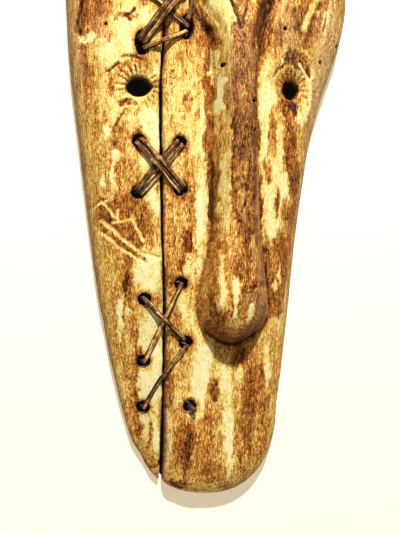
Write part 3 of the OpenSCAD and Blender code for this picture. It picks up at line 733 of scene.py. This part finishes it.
def pocket():
    """Recess for the hanger, in the rim plane."""
    middle = PIVOT_Z + (POCKET_UP - POCKET_DOWN) / 2
    half = (POCKET_UP + POCKET_DOWN) / 2

    def field(x, z, h, deep):
        dx = np.abs(x - HANGER_X) - POCKET_HALF_W + POCKET_CORNER
        dz = np.abs(z - middle) - half + POCKET_CORNER
        plan = np.hypot(np.maximum(dx, 0), np.maximum(dz, 0)) + np.minimum(np.maximum(dx, dz), 0)
        return np.maximum(plan - POCKET_CORNER, h - POCKET_D)
    return HANGER_X, middle, half + 4, field


def pilot_hole(drop):
    def field(x, z, h, deep):
        return np.maximum(np.hypot(x - HANGER_X, z - PIVOT_Z + drop) - PILOT_R, h - PILOT_DEPTH)
    return HANGER_X, PIVOT_Z - drop, 5, field


def worm_hole(cx, cz, r):
    def field(x, z, h, deep):
        return np.maximum(np.hypot(x - cx, z - cz) - r, deep - 7.0)
    return cx, cz, 4, field


def board_holes(left):
    """Every hole of one board: its middle, its reach and a field that is negative inside it."""
    holes = [worm_hole(*w) for w in WORM_HOLES if (w[0] < curve(w[1], SPLIT_LINE)) == left]
    round_holes, tall_holes = (LEFT_HOLES, LEFT_TALL_HOLES) if left else (RIGHT_HOLES, RIGHT_TALL_HOLES)
    holes += [burnt_hole(*c, LACE_R, LACE_R, 400 + i) for i, c in enumerate(round_holes)]
    holes += [burnt_hole(*c, *OVAL_HOLE, 410 + i) for i, c in enumerate(tall_holes)]
    if left:
        return holes + [left_eye_hole()]
    holes += [burnt_hole(*RIGHT_EYE, 6.9, 6.9, 450, 1.5), pocket()]
    return holes + [pilot_hole(drop) for drop in SCREW_DROPS]


def mesh_object(name, points, faces, attributes=None, smooth=True):
    """New mesh object from four-cornered faces, given as rows of point numbers."""
    mesh = bpy.data.meshes.new(name)
    faces = np.asarray(faces, np.int32)
    mesh.vertices.add(len(points))
    mesh.vertices.foreach_set("co", np.asarray(points, np.float32).ravel())
    mesh.loops.add(faces.size)
    mesh.loops.foreach_set("vertex_index", faces.ravel())
    mesh.polygons.add(len(faces))
    mesh.polygons.foreach_set("loop_start", np.arange(0, faces.size, 4, dtype=np.int32))
    mesh.update(calc_edges=True)
    for key, values in (attributes or {}).items():
        a = mesh.attributes.new(key, "FLOAT", "POINT")
        a.data.foreach_set("value", np.asarray(values, np.float32))
    mesh.polygons.foreach_set("use_smooth", np.full(len(mesh.polygons), smooth))
    mesh.validate()
    obj = bpy.data.objects.new(name, mesh)
    bpy.context.scene.collection.objects.link(obj)
    return obj


def largest_part(points, quads):
    """Drops loose crumbs: keeps the biggest connected part."""
    label = np.arange(len(points))
    while True:
        low = label[quads].min(1)
        new = label.copy()
        for c in range(4):
            np.minimum.at(new, quads[:, c], low)
        new = new[new]
        if (new == label).all():
            break
        label = new
    names, counts = np.unique(label, return_counts=True)
    keep = label == names[counts.argmax()]
    index = np.cumsum(keep) - 1
    return points[keep], index[quads[keep[quads[:, 0]]]]


def make_board(name, left):
    """One board, meshed at the surface where its signed distance is 0."""
    m = front_maps(left)
    xs = np.arange(*BOARD_X[left], VOXEL)
    hs = np.arange(-2.7, MAX_H, VOXEL)
    zs = np.arange(-4.0, 504.0, VOXEL)
    field = board_field(m, left, xs, hs, zs).astype(np.float32)
    grid = openvdb.FloatGrid(3.0)
    grid.copyFromArray(np.ascontiguousarray(np.clip(field, -3, 3)))
    points, quads = grid.convertToQuads(isovalue=0.0)
    points, quads = largest_part(points, quads[:, ::-1].astype(np.int64))
    x = xs[0] + points[:, 0] * VOXEL
    h = hs[0] + points[:, 1] * VOXEL
    z = zs[0] + points[:, 2] * VOXEL
    return mesh_object(name, to_frame(x, h, z), quads, board_paint(m, x, h, z, left))


def scorch(x, z, depth, left):
    """How dark each point is from the lace holes' burning and from the worm holes, 0 to 1."""
    burnt = np.zeros(len(x))
    holes = LEFT_HOLES + LEFT_TALL_HOLES if left else RIGHT_HOLES + RIGHT_TALL_HOLES
    for cx, cz in holes:
        tall = 1.8 if (cx, cz) in LEFT_TALL_HOLES + RIGHT_TALL_HOLES else 1.0
        r = np.hypot(x - cx, (z - cz) / tall)
        burnt = np.maximum(burnt, (1 - ramp((r - 5.6) / 1.6)) * (0.35 + 0.65 * ramp((depth - 0.3) / 2)))
        burnt = np.maximum(burnt, 0.35 * (1 - ramp((r - 6.0) / 3.5)))
    for cx, cz, r_hole in WORM_HOLES:
        near = np.hypot(x - cx, z - cz)
        burnt = np.maximum(burnt, (1 - ramp((near - r_hole) / 0.8)) * (0.5 + 0.5 * ramp(depth / 1.5)))
    return burnt


def board_paint(m, x, h, z, left):
    """Colour fields at the mesh's points: the front's paint, bare wood at the back, painted shade in the
    split, burnt holes.
    """
    low = m.read("back", x, z)
    depth = m.read("height", x, z) - h
    tone = m.read("tone", x, z)
    below = ramp((depth - 1.2) / 2.5)
    side_tone = 0.50 + 0.12 * noise(h, z, 2.2, 30, 501, 4) + 0.05 * noise(h, z, 9, 60, 502)
    edge = 1 - ramp((m.read("inside", x, z) - 2) / 3)
    tone = mix(tone, side_tone, below * edge)
    # painted shade: the faces of the split darken with depth, to near black where the gap is narrow
    # higher up and less in the wider gap low down
    near_split = 1 - ramp((m.read("edge_gap", x, z) - 1.2) / 2.5)
    lower = 1 - ramp((z - 130) / 120)
    tone = mix(tone, mix(0.86, 0.66, lower), near_split * ramp((depth - 2.0) / 5))
    back_part = ramp((depth - 5) / 3) * ramp((low + 2.5 - h) / 1.5)
    back_part = np.maximum(back_part, ramp((1.4 - h) / 0.8))
    tone = mix(tone, m.read("back_tone", x, z), back_part)
    (cx, cz), wide, eye_r = (LEFT_EYE, 1.22, 9.2) if left else (RIGHT_EYE, 1.0, 7.6)
    r = np.hypot((x - cx) / wide, z - cz)
    in_eye = (1 - ramp((r - eye_r) / 2.2)) * ramp((depth - 0.5) / 3)
    tone = mix(tone, 0.84, in_eye)
    tone = mix(tone, 0.97, scorch(x, z, depth, left))
    surface = 1 - np.maximum(back_part, below)
    return {
        "tone": np.clip(tone, 0, 1),
        "blush": m.read("blush", x, z) * surface + 0.35 * below * edge,
        "specks": m.read("specks", x, z) * surface,
        "flecks": m.read("flecks", x, z) * surface,
        "clay": np.clip((0.36 - tone) / 0.2, 0, 1) * surface,
    }


# ---------------------------------------------------------------- cane strips
CANE_W, CANE_T, CANE_GAP = 4.2, 1.6, 0.5


def beside(p, dx, dz):
    return (p[0] + dx, p[1] + dz)


BROW_BAND = dict(a=beside(BROW_L, 0.1, 2), b=CROWN_R, lift=7, perch=3.4, drop=3.4, to=1,
                 wide=1.12, thick=1.5)
CHEEK_OVER = dict(a=CHEEK_TL, b=CHEEK_BR, lift=3.4, drop=3.4, thick=1.4)
# Each strip: its holes and how it runs, as in the CAD model, then its look
LACES = {
    "brow_band_inner": dict(BROW_BAND, shift=2.3, seed=1),
    "brow_band_outer": dict(BROW_BAND, shift=-2.3, seed=2),
    "brow_back_strand": dict(a=beside(BROW_R, 0.4, 0.4), b=CROWN_L, lift=0.4, seed=3),
    "brow_cross_strand": dict(a=beside(BROW_L, 1.8, -4.4), b=beside(BROW_R, -1, -3.8), lift=3.2,
                              thick=1.35, seed=4),
    "brow_side_strand": dict(a=beside(BROW_R, 0.4, 6), b=beside(CROWN_R, 0, -5.6), bow=-2.6, seed=5),
    "cheek_over_upper": dict(CHEEK_OVER, shift=2.2, seed=6),
    "cheek_over_lower": dict(CHEEK_OVER, shift=-2.2, seed=7),
    "cheek_under_upper": dict(a=CHEEK_TR, b=CHEEK_BL, shift=-2.2, bow=-1.1, seed=8),
    "cheek_under_lower": dict(a=CHEEK_TR, b=CHEEK_BL, shift=2.2, bow=1.1, seed=9),
    "jaw_top_strand": dict(a=JAW_R1, b=JAW_L2, thick=1.2, seed=10),
    "jaw_middle_strand": dict(a=JAW_L1, b=beside(JAW_R2, -1.8, 1.9), lift=4.2, drop=3.4, thick=1.4,
                              seed=11),
    "jaw_bottom_strand": dict(a=beside(JAW_R2, 0.6, -2.4), b=JAW_L3, bow=-2, wide=0.86, seed=12),
}
RING_STEP = 0.7
STRIP_SIDES = 28
TURN_R = 1.9


def lace_path(a, b, shift=0, bow=0, lift=0, perch=0, drop=0, to=0):
    """Closed path of one strip: along it, sideways, depth, heading, at even steps."""
    a, b = np.array(a, float), np.array(b, float)
    length = np.hypot(*(b - a))
    d = (b - a) / length
    end = length + to
    side = lambda s: shift + bow * np.sin(math.pi * np.clip(s / end, 0, 1))

    def at(s, o):
        n = side(s) + o
        return a[0] + d[0] * s - d[1] * n, a[1] + d[1] * s + d[0] * n

    edges = [e * CANE_W / 2 for e in (-1, 0, 1)]
    top = lambda s: (np.max([front(*at(s, o)) for o in edges], 0) + CANE_T / 2 + CANE_GAP
                     + lift * np.exp(-((s - end / 2) / 7) ** 2) + perch * ramp((s - end + 18) / 8))
    low = lambda s: np.min([back(*at(s, o)) for o in edges], 0) - CANE_T / 2 - CANE_GAP - drop
    q0, q1 = TURN_R, end - TURN_R
    along = np.linspace(q0, q1, 40)
    turn = np.radians(np.arange(15, 90, 15))
    out, down = TURN_R * np.sin(turn), TURN_R * (1 - np.cos(turn))
    back_in, level = TURN_R * np.cos(turn), TURN_R * (1 - np.sin(turn))
    wall_h = lambda q: np.linspace(top(q) - TURN_R, low(q) + TURN_R, 8)
    parts = [
        (along, top(along)), (q1 + out, top(q1) - down), (np.full(8, end), wall_h(q1)),
        (q1 + back_in, low(q1) + level), (along[::-1], low(along[::-1])), (q0 - out, low(q0) + down),
        (np.zeros(8), wall_h(q0)[::-1]), (q0 - back_in, top(q0) - level),
    ]
    s, h = (np.concatenate(c) for c in zip(*parts))
    s, h = even_steps(s, h, RING_STEP)
    return a, d, s, side(s), h


def even_steps(s, h, step):
    """The same closed path with points an even step apart."""
    s, h = np.append(s, s[0]), np.append(h, h[0])
    run = np.concatenate([[0], np.cumsum(np.hypot(np.diff(s), np.diff(h)))])
    n = int(run[-1] / step)
    at = np.arange(n) * run[-1] / n
    return np.interp(at, run, s), np.interp(at, run, h)


def strip_section(wide, thick):
    """Once round a strip: the angle, and how far across and outward; flat below, rounded above."""
    angle = np.arange(STRIP_SIDES) * 2 * math.pi / STRIP_SIDES
    c, s = np.cos(angle), np.sin(angle)
    across = np.sign(c) * np.abs(c) ** 0.75 * CANE_W / 2 * wide
    outward = np.where(s > 0, np.abs(s) ** 0.8 * (thick * CANE_T - CANE_T / 2), s * CANE_T / 2)
    return angle, across, outward


def strip_rings(a, d, s, side, h, wide, thick, seed, closed):
    """Points of a split strip along its path, ribbed and a little twisted."""
    n = len(s)
    if closed:
        ds, dh = np.roll(s, -1) - np.roll(s, 1), np.roll(h, -1) - np.roll(h, 1)
    else:
        ds, dh = np.gradient(s), np.gradient(h)
    length = np.hypot(ds, dh)
    ds, dh = ds / length, dh / length
    t = np.arange(n) * RING_STEP
    a_ring, across, outward = strip_section(wide, thick)
    if closed:
        # the pattern closes on itself: both ends of t are the same place
        wave = lambda f, p: np.sin(2 * math.pi * (f * t / (n * RING_STEP)) + p)
        twist = 0.14 * wave(3, seed) + 0.08 * wave(7, seed * 2.1)
        swell_w = 1 + 0.06 * wave(5, seed * 1.7) + 0.04 * wave(11, seed * 0.7)
        taper = np.ones(n)
    else:
        twist = 0.1 * np.sin(t * 0.3)
        taper = np.sqrt(np.clip(np.minimum(t, t[::-1]) / 1.6, 0, 1))
        swell_w = taper
    u, v = across[None, :] * swell_w[:, None], outward[None, :] * taper[:, None]
    way, angle = np.meshgrid(t, a_ring, indexing="ij")
    ribs = noise(angle * 3.4, way, 1, 40, 600 + seed, 2)
    fine_ribs = noise(angle * 8, way, 1, 9, 640 + seed, 2)
    fade = np.minimum(1, np.minimum(t, t[::-1]) / 4)[:, None]
    rib = (0.26 * ribs + 0.12 * fine_ribs) * fade
    v = v * (1 + 0.25 * rib) + rib * np.sign(v) * 0.8
    u = u + 0.3 * rib * np.sign(u)
    ct, st = np.cos(twist)[:, None], np.sin(twist)[:, None]
    u, v = u * ct - v * st, u * st + v * ct
    pos_s = s[:, None] - v * dh[:, None]
    pos_h = h[:, None] + v * ds[:, None]
    n_off = side[:, None] + u
    x = a[0] + d[0] * pos_s - d[1] * n_off
    z = a[1] + d[1] * pos_s + d[0] * n_off
    return x, pos_h, z, rib, t


def tube_faces(n, k, closed):
    i = np.arange(n if closed else n - 1)[:, None]
    j = np.arange(k)[None, :]
    i2, j2 = (i + 1) % n, (j + 1) % k
    return np.stack([i * k + j + 0 * i, i2 * k + j, i2 * k + j2, i * k + j2], -1).reshape(-1, 4)


def strip_object(name, a, d, s, side, h, wide, thick, seed, closed):
    """Mesh of one strip, with how pale each point is: raised fibres rubbed pale, the outward face pale as
    a painted highlight and the sides dark as painted shade, buried ends dark.
    """
    x, hh, z, rib, t = strip_rings(a, d, s, side, h, wide, thick, seed, closed)
    way, place = np.meshgrid(t, np.arange(STRIP_SIDES) * 1.0, indexing="ij")
    over = np.clip(np.sin(place * 2 * math.pi / STRIP_SIDES), 0, 1)
    attributes = {
        # painted highlight on the outward face and painted shade on the sides, plus rubbed raised fibres
        "wear_and_highlight": np.clip(0.50 * over ** 1.8 + 2.1 * rib, 0, 1).ravel(),
        "along": way.ravel(),
        "around": place.ravel(),
        "buried": ramp((front(x, z) - hh + 0.2) / 2.5).ravel(),
    }
    faces = tube_faces(len(s), STRIP_SIDES, closed)
    return mesh_object(name, to_frame(x, hh, z).reshape(-1, 3), faces, attributes)


def make_lace(name, wide=1.0, thick=1.15, seed=0, **route):
    return strip_object(name, *lace_path(**route), wide, thick, seed, True)


def make_stub(name):
    """The broken strip that curls out of the lowest hole on the right."""
    d = np.array([0.75, -0.66])
    s = np.array([-1.6, -1.6, -1.2, -0.2, 2.2, 6.0])
    h = front(*JAW_R3) + np.array([-12, -6, -1, 1.4, 3.0, 4.2])
    run = np.concatenate([[0], np.cumsum(np.hypot(np.diff(s), np.diff(h)))])
    at = np.arange(0, run[-1], RING_STEP)
    s, h = np.interp(at, run, s), np.interp(at, run, h)
    return strip_object(name, np.array(JAW_R3), d, s, 0 * s, h, 1.0, 1.2, 13, False)


# ---------------------------------------------------------------- materials
# White in the key light shows this many times brighter than the display's white
LIT = 1.75


def linear(r, g, b, lit=1.0):
    """Display colour, 0 to 255, as a linear one; lit is the light's level that it is seen in."""
    c = np.array([r, g, b]) / 255
    return (*np.where(c <= 0.04045, c / 12.92, ((c + 0.055) / 1.055) ** 2.4) / lit, 1.0)


class Nodes:
    """Short way to write a material's nodes."""

    def __init__(self, name):
        self.material = bpy.data.materials.new(name)
        self.material.use_nodes = True
        self.tree = self.material.node_tree
        self.tree.nodes.clear()
        self.output = self.tree.nodes.new("ShaderNodeOutputMaterial")
        self.shader = self.add("ShaderNodeBsdfPrincipled")
        self.link(self.shader.outputs[0], self.output.inputs["Surface"])

    def add(self, kind, **settings):
        node = self.tree.nodes.new(kind)
        for key, value in settings.items():
            setattr(node, key, value)
        return node

    def link(self, a, b):
        self.tree.links.new(a, b)

    def put(self, socket, value):
        """A number, colour or another node's output into a socket."""
        if isinstance(value, bpy.types.NodeSocket):
            self.link(value, socket)
        else:
            socket.default_value = value

    def field(self, name):
        return self.add("ShaderNodeAttribute", attribute_name=name).outputs["Fac"]

    def math(self, operation, a, b=0.0, c=0.0, clamp=False):
        node = self.add("ShaderNodeMath", operation=operation, use_clamp=clamp)
        for socket, value in zip(node.inputs, (a, b, c)):
            self.put(socket, value)
        return node.outputs[0]

    def sway(self, tone, texture, amount):
        """A tone moved up and down by a texture that wavers about 0.5."""
        return self.math("MULTIPLY_ADD", self.math("SUBTRACT", texture, 0.5), amount, tone)

    def stretched(self, source, x, y, z):
        """Coordinates in cells of x by y by z millimetres."""
        node = self.add("ShaderNodeVectorMath", operation="MULTIPLY")
        self.put(node.inputs[0], source)
        node.inputs[1].default_value = (1 / (x * MM), 1 / (y * MM), 1 / (z * MM))
        return node.outputs[0]

    def noise(self, source, cell, detail=2.0, rough=0.5, distortion=0.0):
        """Noise whose cells measure x, y and z millimetres."""
        node = self.add("ShaderNodeTexNoise")
        self.put(node.inputs["Vector"], self.stretched(source, *cell))
        node.inputs["Scale"].default_value = 1.0
        node.inputs["Detail"].default_value = detail
        node.inputs["Roughness"].default_value = rough
        node.inputs["Distortion"].default_value = distortion
        return node.outputs["Fac"]

    def spots(self, source, cell):
        """Distance to the nearest of scattered points, one to a cell."""
        node = self.add("ShaderNodeTexVoronoi")
        self.put(node.inputs["Vector"], self.stretched(source, *cell))
        node.inputs["Scale"].default_value = 1.0
        node.inputs["Randomness"].default_value = 1.0
        return node.outputs["Distance"]

    def step(self, value, low, high, out_low=0.0, out_high=1.0):
        node = self.add("ShaderNodeMapRange", interpolation_type="SMOOTHSTEP")
        for socket, v in zip(node.inputs, (value, low, high, out_low, out_high)):
            self.put(socket, v)
        return node.outputs[0]

    def ramp(self, value, stops):
        node = self.add("ShaderNodeValToRGB")
        elements = node.color_ramp.elements
        while len(elements) < len(stops):
            elements.new(0.5)
        for element, (at, colour) in zip(elements, stops):
            element.position = at
            element.color = linear(*colour, LIT)
        self.put(node.inputs[0], value)
        return node.outputs["Color"]

    def mix(self, factor, a, b, blend="MIX"):
        node = self.add("ShaderNodeMix", data_type="RGBA", blend_type=blend)
        self.put(node.inputs["Factor"], factor)
        self.put(node.inputs[6], a)
        self.put(node.inputs[7], b)
        return node.outputs[2]

    def bump(self, height, distance, strength=1.0, normal=None):
        node = self.add("ShaderNodeBump")
        node.inputs["Strength"].default_value = strength
        node.inputs["Distance"].default_value = distance
        self.put(node.inputs["Height"], height)
        if normal is not None:
            self.put(node.inputs["Normal"], normal)
        return node.outputs["Normal"]

    def coordinates(self):
        return self.add("ShaderNodeTexCoord").outputs["Object"]


WOOD_TONES = [
    (0.00, (253, 245, 194)), (0.08, (248, 235, 158)), (0.18, (242, 219, 122)), (0.29, (231, 192, 100)),
    (0.41, (212, 154, 66)), (0.53, (184, 117, 42)), (0.66, (148, 85, 29)), (0.79, (103, 56, 20)),
    (0.91, (58, 31, 13)), (1.00, (24, 12, 7)),
]
# The same wood where hands have left it greyish and pink
SKIN_TONES = [
    (0.0, (236, 206, 160)), (0.3, (216, 170, 122)), (0.5, (184, 136, 88)), (0.7, (138, 96, 56)),
    (1.0, (46, 30, 18)),
]


def wood_material():
    n = Nodes("carved_wood_with_clay")
    at = n.coordinates()
    # fine vertical grain, with ragged edges where clay meets bare wood
    grain = n.noise(at, (1.0, 1.0, 13.0), 4.0, 0.6, 0.4)
    hair = n.noise(at, (0.75, 0.75, 4.5), 2.0, 0.6)
    mottle = n.noise(at, (3.0, 3.0, 5.0), 4.0, 0.65, 0.6)
    tone = n.field("tone")
    grain_on = n.step(tone, 0.0, 0.35, 0.16, 0.46)
    tone = n.sway(tone, grain, grain_on)
    tone = n.sway(tone, hair, n.step(tone, 0.1, 0.4, 0.5, 1.2))
    grit = n.noise(at, (1.2, 1.2, 1.7), 2.0, 0.6)
    tone = n.sway(n.sway(tone, grit, 0.85), mottle, 0.26)
    # dark specks where the clay has popped off, and golden flecks in the dark wood
    speck = n.spots(at, (1.5, 1.5, 1.9))
    patches = n.step(n.noise(at, (9, 9, 12), 3.0), 0.42, 0.62, 0.12, 0.5)
    speck_size = n.math("MAXIMUM", n.field("specks"), patches)
    speck_size = n.math("MULTIPLY", speck_size, n.noise(at, (4, 4, 4), 2.0))
    core, rim = n.math("MULTIPLY", speck_size, 0.30), n.math("MULTIPLY", speck_size, 0.75)
    speck = n.step(speck, core, rim, 1.0, 0.0)
    speck = n.math("MULTIPLY", speck, n.step(speck_size, 0.06, 0.2))
    tone = n.math("MULTIPLY_ADD", speck, 0.55, tone)
    fleck = n.step(n.noise(at, (0.9, 0.9, 2.8), 2.0, 0.6), 0.56, 0.66)
    fleck = n.math("MULTIPLY", fleck, n.field("flecks"))
    tone = n.math("MULTIPLY_ADD", fleck, -0.26, tone, clamp=True)
    colour = n.ramp(tone, WOOD_TONES)
    # warmer, redder wood in some places and greyish pink where it was handled
    red = n.step(n.noise(at, (14, 14, 40), 3.0, 0.6), 0.42, 0.68)
    red = n.math("MULTIPLY", red, n.step(tone, 0.3, 0.5))
    colour = n.mix(n.math("MULTIPLY", red, 0.55), colour, linear(255, 205, 160), "MULTIPLY")
    skin = n.math("MULTIPLY", n.field("blush"), n.step(tone, 0.1, 0.3, 0.0, 0.95))
    skin = n.math("MULTIPLY", skin, n.step(n.noise(at, (4, 4, 16), 3.0, 0.7), 0.3, 0.5))
    colour = n.mix(skin, colour, n.ramp(tone, SKIN_TONES))
    n.link(colour, n.shader.inputs["Base Color"])
    n.link(n.step(tone, 0.1, 0.8, 0.88, 0.62), n.shader.inputs["Roughness"])
    n.shader.inputs["Specular IOR Level"].default_value = 0.12
    bristle = n.math("MULTIPLY_ADD", grit, 0.9, n.math("MULTIPLY_ADD", hair, 0.5, grain))
    fine = n.bump(bristle, 0.5 * MM, 0.7)
    cover = n.math("MULTIPLY_ADD", n.field("clay"), 0.8, 0.3)
    crust = n.bump(n.math("MULTIPLY", mottle, cover), 0.5 * MM, 0.6, fine)
    pitted = n.bump(n.math("MULTIPLY", speck, -1.0), 0.3 * MM, 0.8, crust)
    n.link(pitted, n.shader.inputs["Normal"])
    return n.material


def cane_material():
    n = Nodes("split_cane")
    at = n.add("ShaderNodeCombineXYZ")
    n.link(n.math("MULTIPLY", n.field("around"), 0.42 * MM), at.inputs[0])
    n.link(n.math("MULTIPLY", n.field("along"), MM), at.inputs[2])
    at = at.outputs[0]
    fibre = n.noise(at, (0.62, 1, 16), 3.0, 0.6)
    patch = n.noise(n.coordinates(), (3, 3, 3), 4.0, 0.6)
    wear_and_highlight = n.sway(n.sway(n.field("wear_and_highlight"), fibre, 1.5), patch, 1.3)
    wear_and_highlight = n.math("SUBTRACT", wear_and_highlight, n.math("MULTIPLY", n.field("buried"), 0.9), clamp=True)
    colour = n.ramp(wear_and_highlight, [(0.0, (22, 10, 5)), (0.28, (66, 34, 13)), (0.48, (114, 70, 28)),
                           (0.66, (172, 118, 56)), (0.84, (224, 176, 100)), (1.0, (250, 216, 150))])
    n.link(colour, n.shader.inputs["Base Color"])
    n.link(n.step(wear_and_highlight, 0.2, 0.9, 0.55, 0.7), n.shader.inputs["Roughness"])
    n.shader.inputs["Specular IOR Level"].default_value = 0.18
    n.link(n.bump(fibre, 0.3 * MM, 0.7), n.shader.inputs["Normal"])
    return n.material


def steel_material():
    n = Nodes("zinc_plated_steel")
    at = n.coordinates()
    spangle = n.noise(at, (2.2, 2.2, 2.2), 3.0, 0.6)
    scratch = n.noise(at, (6, 0.25, 0.25), 2.0, 0.5)
    rust = n.step(n.noise(at, (3.4, 3.4, 3.4), 4.0, 0.7), 0.56, 0.68)
    colour = n.ramp(spangle, [(0.3, (150, 146, 134)), (0.7, (206, 202, 190))])
    colour = n.mix(n.math("MULTIPLY", rust, 0.7), colour, linear(112, 66, 36))
    n.link(colour, n.shader.inputs["Base Color"])
    n.shader.inputs["Metallic"].default_value = 0.85
    n.link(n.math("MULTIPLY_ADD", rust, 0.3, n.math("MULTIPLY_ADD", scratch, 0.25, 0.26)),
           n.shader.inputs["Roughness"])
    n.link(n.bump(scratch, 0.05 * MM, 0.5), n.shader.inputs["Normal"])
    return n.material


def stage_material(name, colour, glow, see_through_back):
    n = Nodes(name)
    at = n.coordinates()
    shade = n.noise(at, (160, 160, 160), 3.0, 0.5)
    stained = n.mix(n.math("MULTIPLY", shade, 0.06), colour, linear(160, 155, 140))
    n.link(stained, n.shader.inputs["Base Color"])
    n.shader.inputs["Roughness"].default_value = 0.9
    n.shader.inputs["Emission Color"].default_value = glow
    n.shader.inputs["Emission Strength"].default_value = 1.0
    n.shader.inputs["Specular IOR Level"].default_value = 0.1
    if see_through_back:
        clear = n.add("ShaderNodeBsdfTransparent")
        choose = n.add("ShaderNodeMixShader")
        n.link(n.add("ShaderNodeNewGeometry").outputs["Backfacing"], choose.inputs[0])
        n.link(n.shader.outputs[0], choose.inputs[1])
        n.link(clear.outputs[0], choose.inputs[2])
        n.link(choose.outputs[0], n.output.inputs["Surface"])
    return n.material


# ---------------------------------------------------------------- making the mask
def put_material(obj, material):
    obj.data.materials.clear()
    obj.data.materials.append(material)


wood = wood_material()
cane = cane_material()
steel = steel_material()


def stand_for(piece, node, material):
    """Dresses a piece, and shows it in place of a node of the mask's body."""
    put_material(piece, material)
    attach(piece, "mask")
    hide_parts(node)


for board_name, is_left in (("left_board", True), ("right_board", False)):
    stand_for(make_board(board_name + "_carved", is_left), board_name, wood)

for lace_name, lace in LACES.items():
    stand_for(make_lace(lace_name + "_fibres", **lace), lace_name, cane)

stand_for(make_stub("broken_cane_stub_fibres"), "broken_cane_stub", cane)

for node_name in ("hanger_strap", "hanger_ring", "hanger_screws"):
    put_material(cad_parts[node_name], steel)

# ---------------------------------------------------------------- wall, floor and light
WALL_GAP = 0.3 * MM
WALL_UNDER_RIM = 6.0
WALL_REACHES = (330, 4000)
FLOOR_Z = -1.35


def outline_points(inset):
    """The mask's outline once round, as (x, z) rows, drawn in by the inset."""
    low_z, low_x = LEFT_SIDE[0]
    up = np.linspace(low_z, HEIGHT - low_z, 60)
    left = np.stack([left_at(up) + inset, up], 1)
    right = np.stack([right_at(up) - inset, up], 1)[::-1]
    low = np.linspace(right[-1, 0], low_x + inset, 12)[1:-1]
    return np.concatenate([left, right, np.stack([low, 0 * low + low_z + inset], 1)])


def make_wall():
    """Plane behind the rim, open inside the rim, so that the hollow back can be lit and seen."""
    inner = outline_points(WALL_UNDER_RIM)
    centre = np.array([0.0, HEIGHT / 2])
    away = inner - centre
    away = away / np.hypot(*away.T)[:, None]
    points = np.concatenate([inner] + [centre + away * reach for reach in WALL_REACHES])
    # turned over, so that the faces look towards the room
    faces = tube_faces(1 + len(WALL_REACHES), len(inner), False)[:, ::-1]
    place = to_frame(points[:, 0], 0.0, points[:, 1]) + [0, WALL_GAP, 0]
    return mesh_object("wall", place, faces, smooth=False)


wall = make_wall()
wall_paint = stage_material("wall_paint", (0.36, 0.37, 0.40, 1), (0.50, 0.40, 0.24, 1), True)
put_material(wall, wall_paint)
floor = mesh_object("floor", [(-3, -4, FLOOR_Z), (3, -4, FLOOR_Z), (3, 2, FLOOR_Z), (-3, 2, FLOOR_Z)],
                    [(0, 1, 2, 3)], smooth=False)
floor_paint = stage_material("floor_paint", (0.5, 0.49, 0.46, 1), (0.1, 0.1, 0.09, 1), False)
put_material(floor, floor_paint)


def add_light(name, offset, size, power, colour):
    """Square light at an offset from the camera's target, turned towards it."""
    data = bpy.data.lights.new(name, "AREA")
    data.size = size
    data.energy = power
    data.color = colour
    light = bpy.data.objects.new(name, data)
    bpy.context.scene.collection.objects.link(light)
    light.location = CAMERA_TARGET + offset
    light.rotation_euler = (-offset).to_track_quat("-Z", "Y").to_euler()
    light.visible_camera = False


KEY_ELEVATION = math.radians(48)
KEY_AZIMUTH = math.radians(-1)
key_way = Vector((math.sin(KEY_AZIMUTH), -math.cos(KEY_AZIMUTH), math.tan(KEY_ELEVATION)))
add_light("key", key_way.normalized() * 1.9, 0.09, 90, (1.0, 0.97, 0.90))
add_light("fill", Vector((-0.3, -2.2, 0.1)), 1.6, 5, (1.0, 0.86, 0.66))
add_light("back", Vector((0.4, 1.6, 0.5)), 0.8, 16, (1.0, 0.98, 0.95))


def make_world():
    """Soft white room: bright in front of the wall and dim behind it."""
    world = bpy.data.worlds.new("room")
    world.use_nodes = True
    tree = world.node_tree
    tree.nodes.clear()
    at = tree.nodes.new("ShaderNodeTexCoord")
    split = tree.nodes.new("ShaderNodeSeparateXYZ")
    level = tree.nodes.new("ShaderNodeMapRange")
    shade = tree.nodes.new("ShaderNodeBackground")
    out = tree.nodes.new("ShaderNodeOutputWorld")
    tree.links.new(at.outputs["Generated"], split.inputs[0])
    tree.links.new(split.outputs["Y"], level.inputs[0])
    for socket, value in zip(level.inputs[1:5], (-0.25, 0.35, 0.19, 0.004)):
        socket.default_value = value
    tree.links.new(level.outputs[0], shade.inputs["Strength"])
    shade.inputs["Color"].default_value = (1.0, 0.93, 0.80, 1)
    tree.links.new(shade.outputs[0], out.inputs["Surface"])
    bpy.context.scene.world = world


make_world()
bpy.context.scene.view_settings.view_transform = "Standard"
bpy.context.scene.view_settings.look = "None"
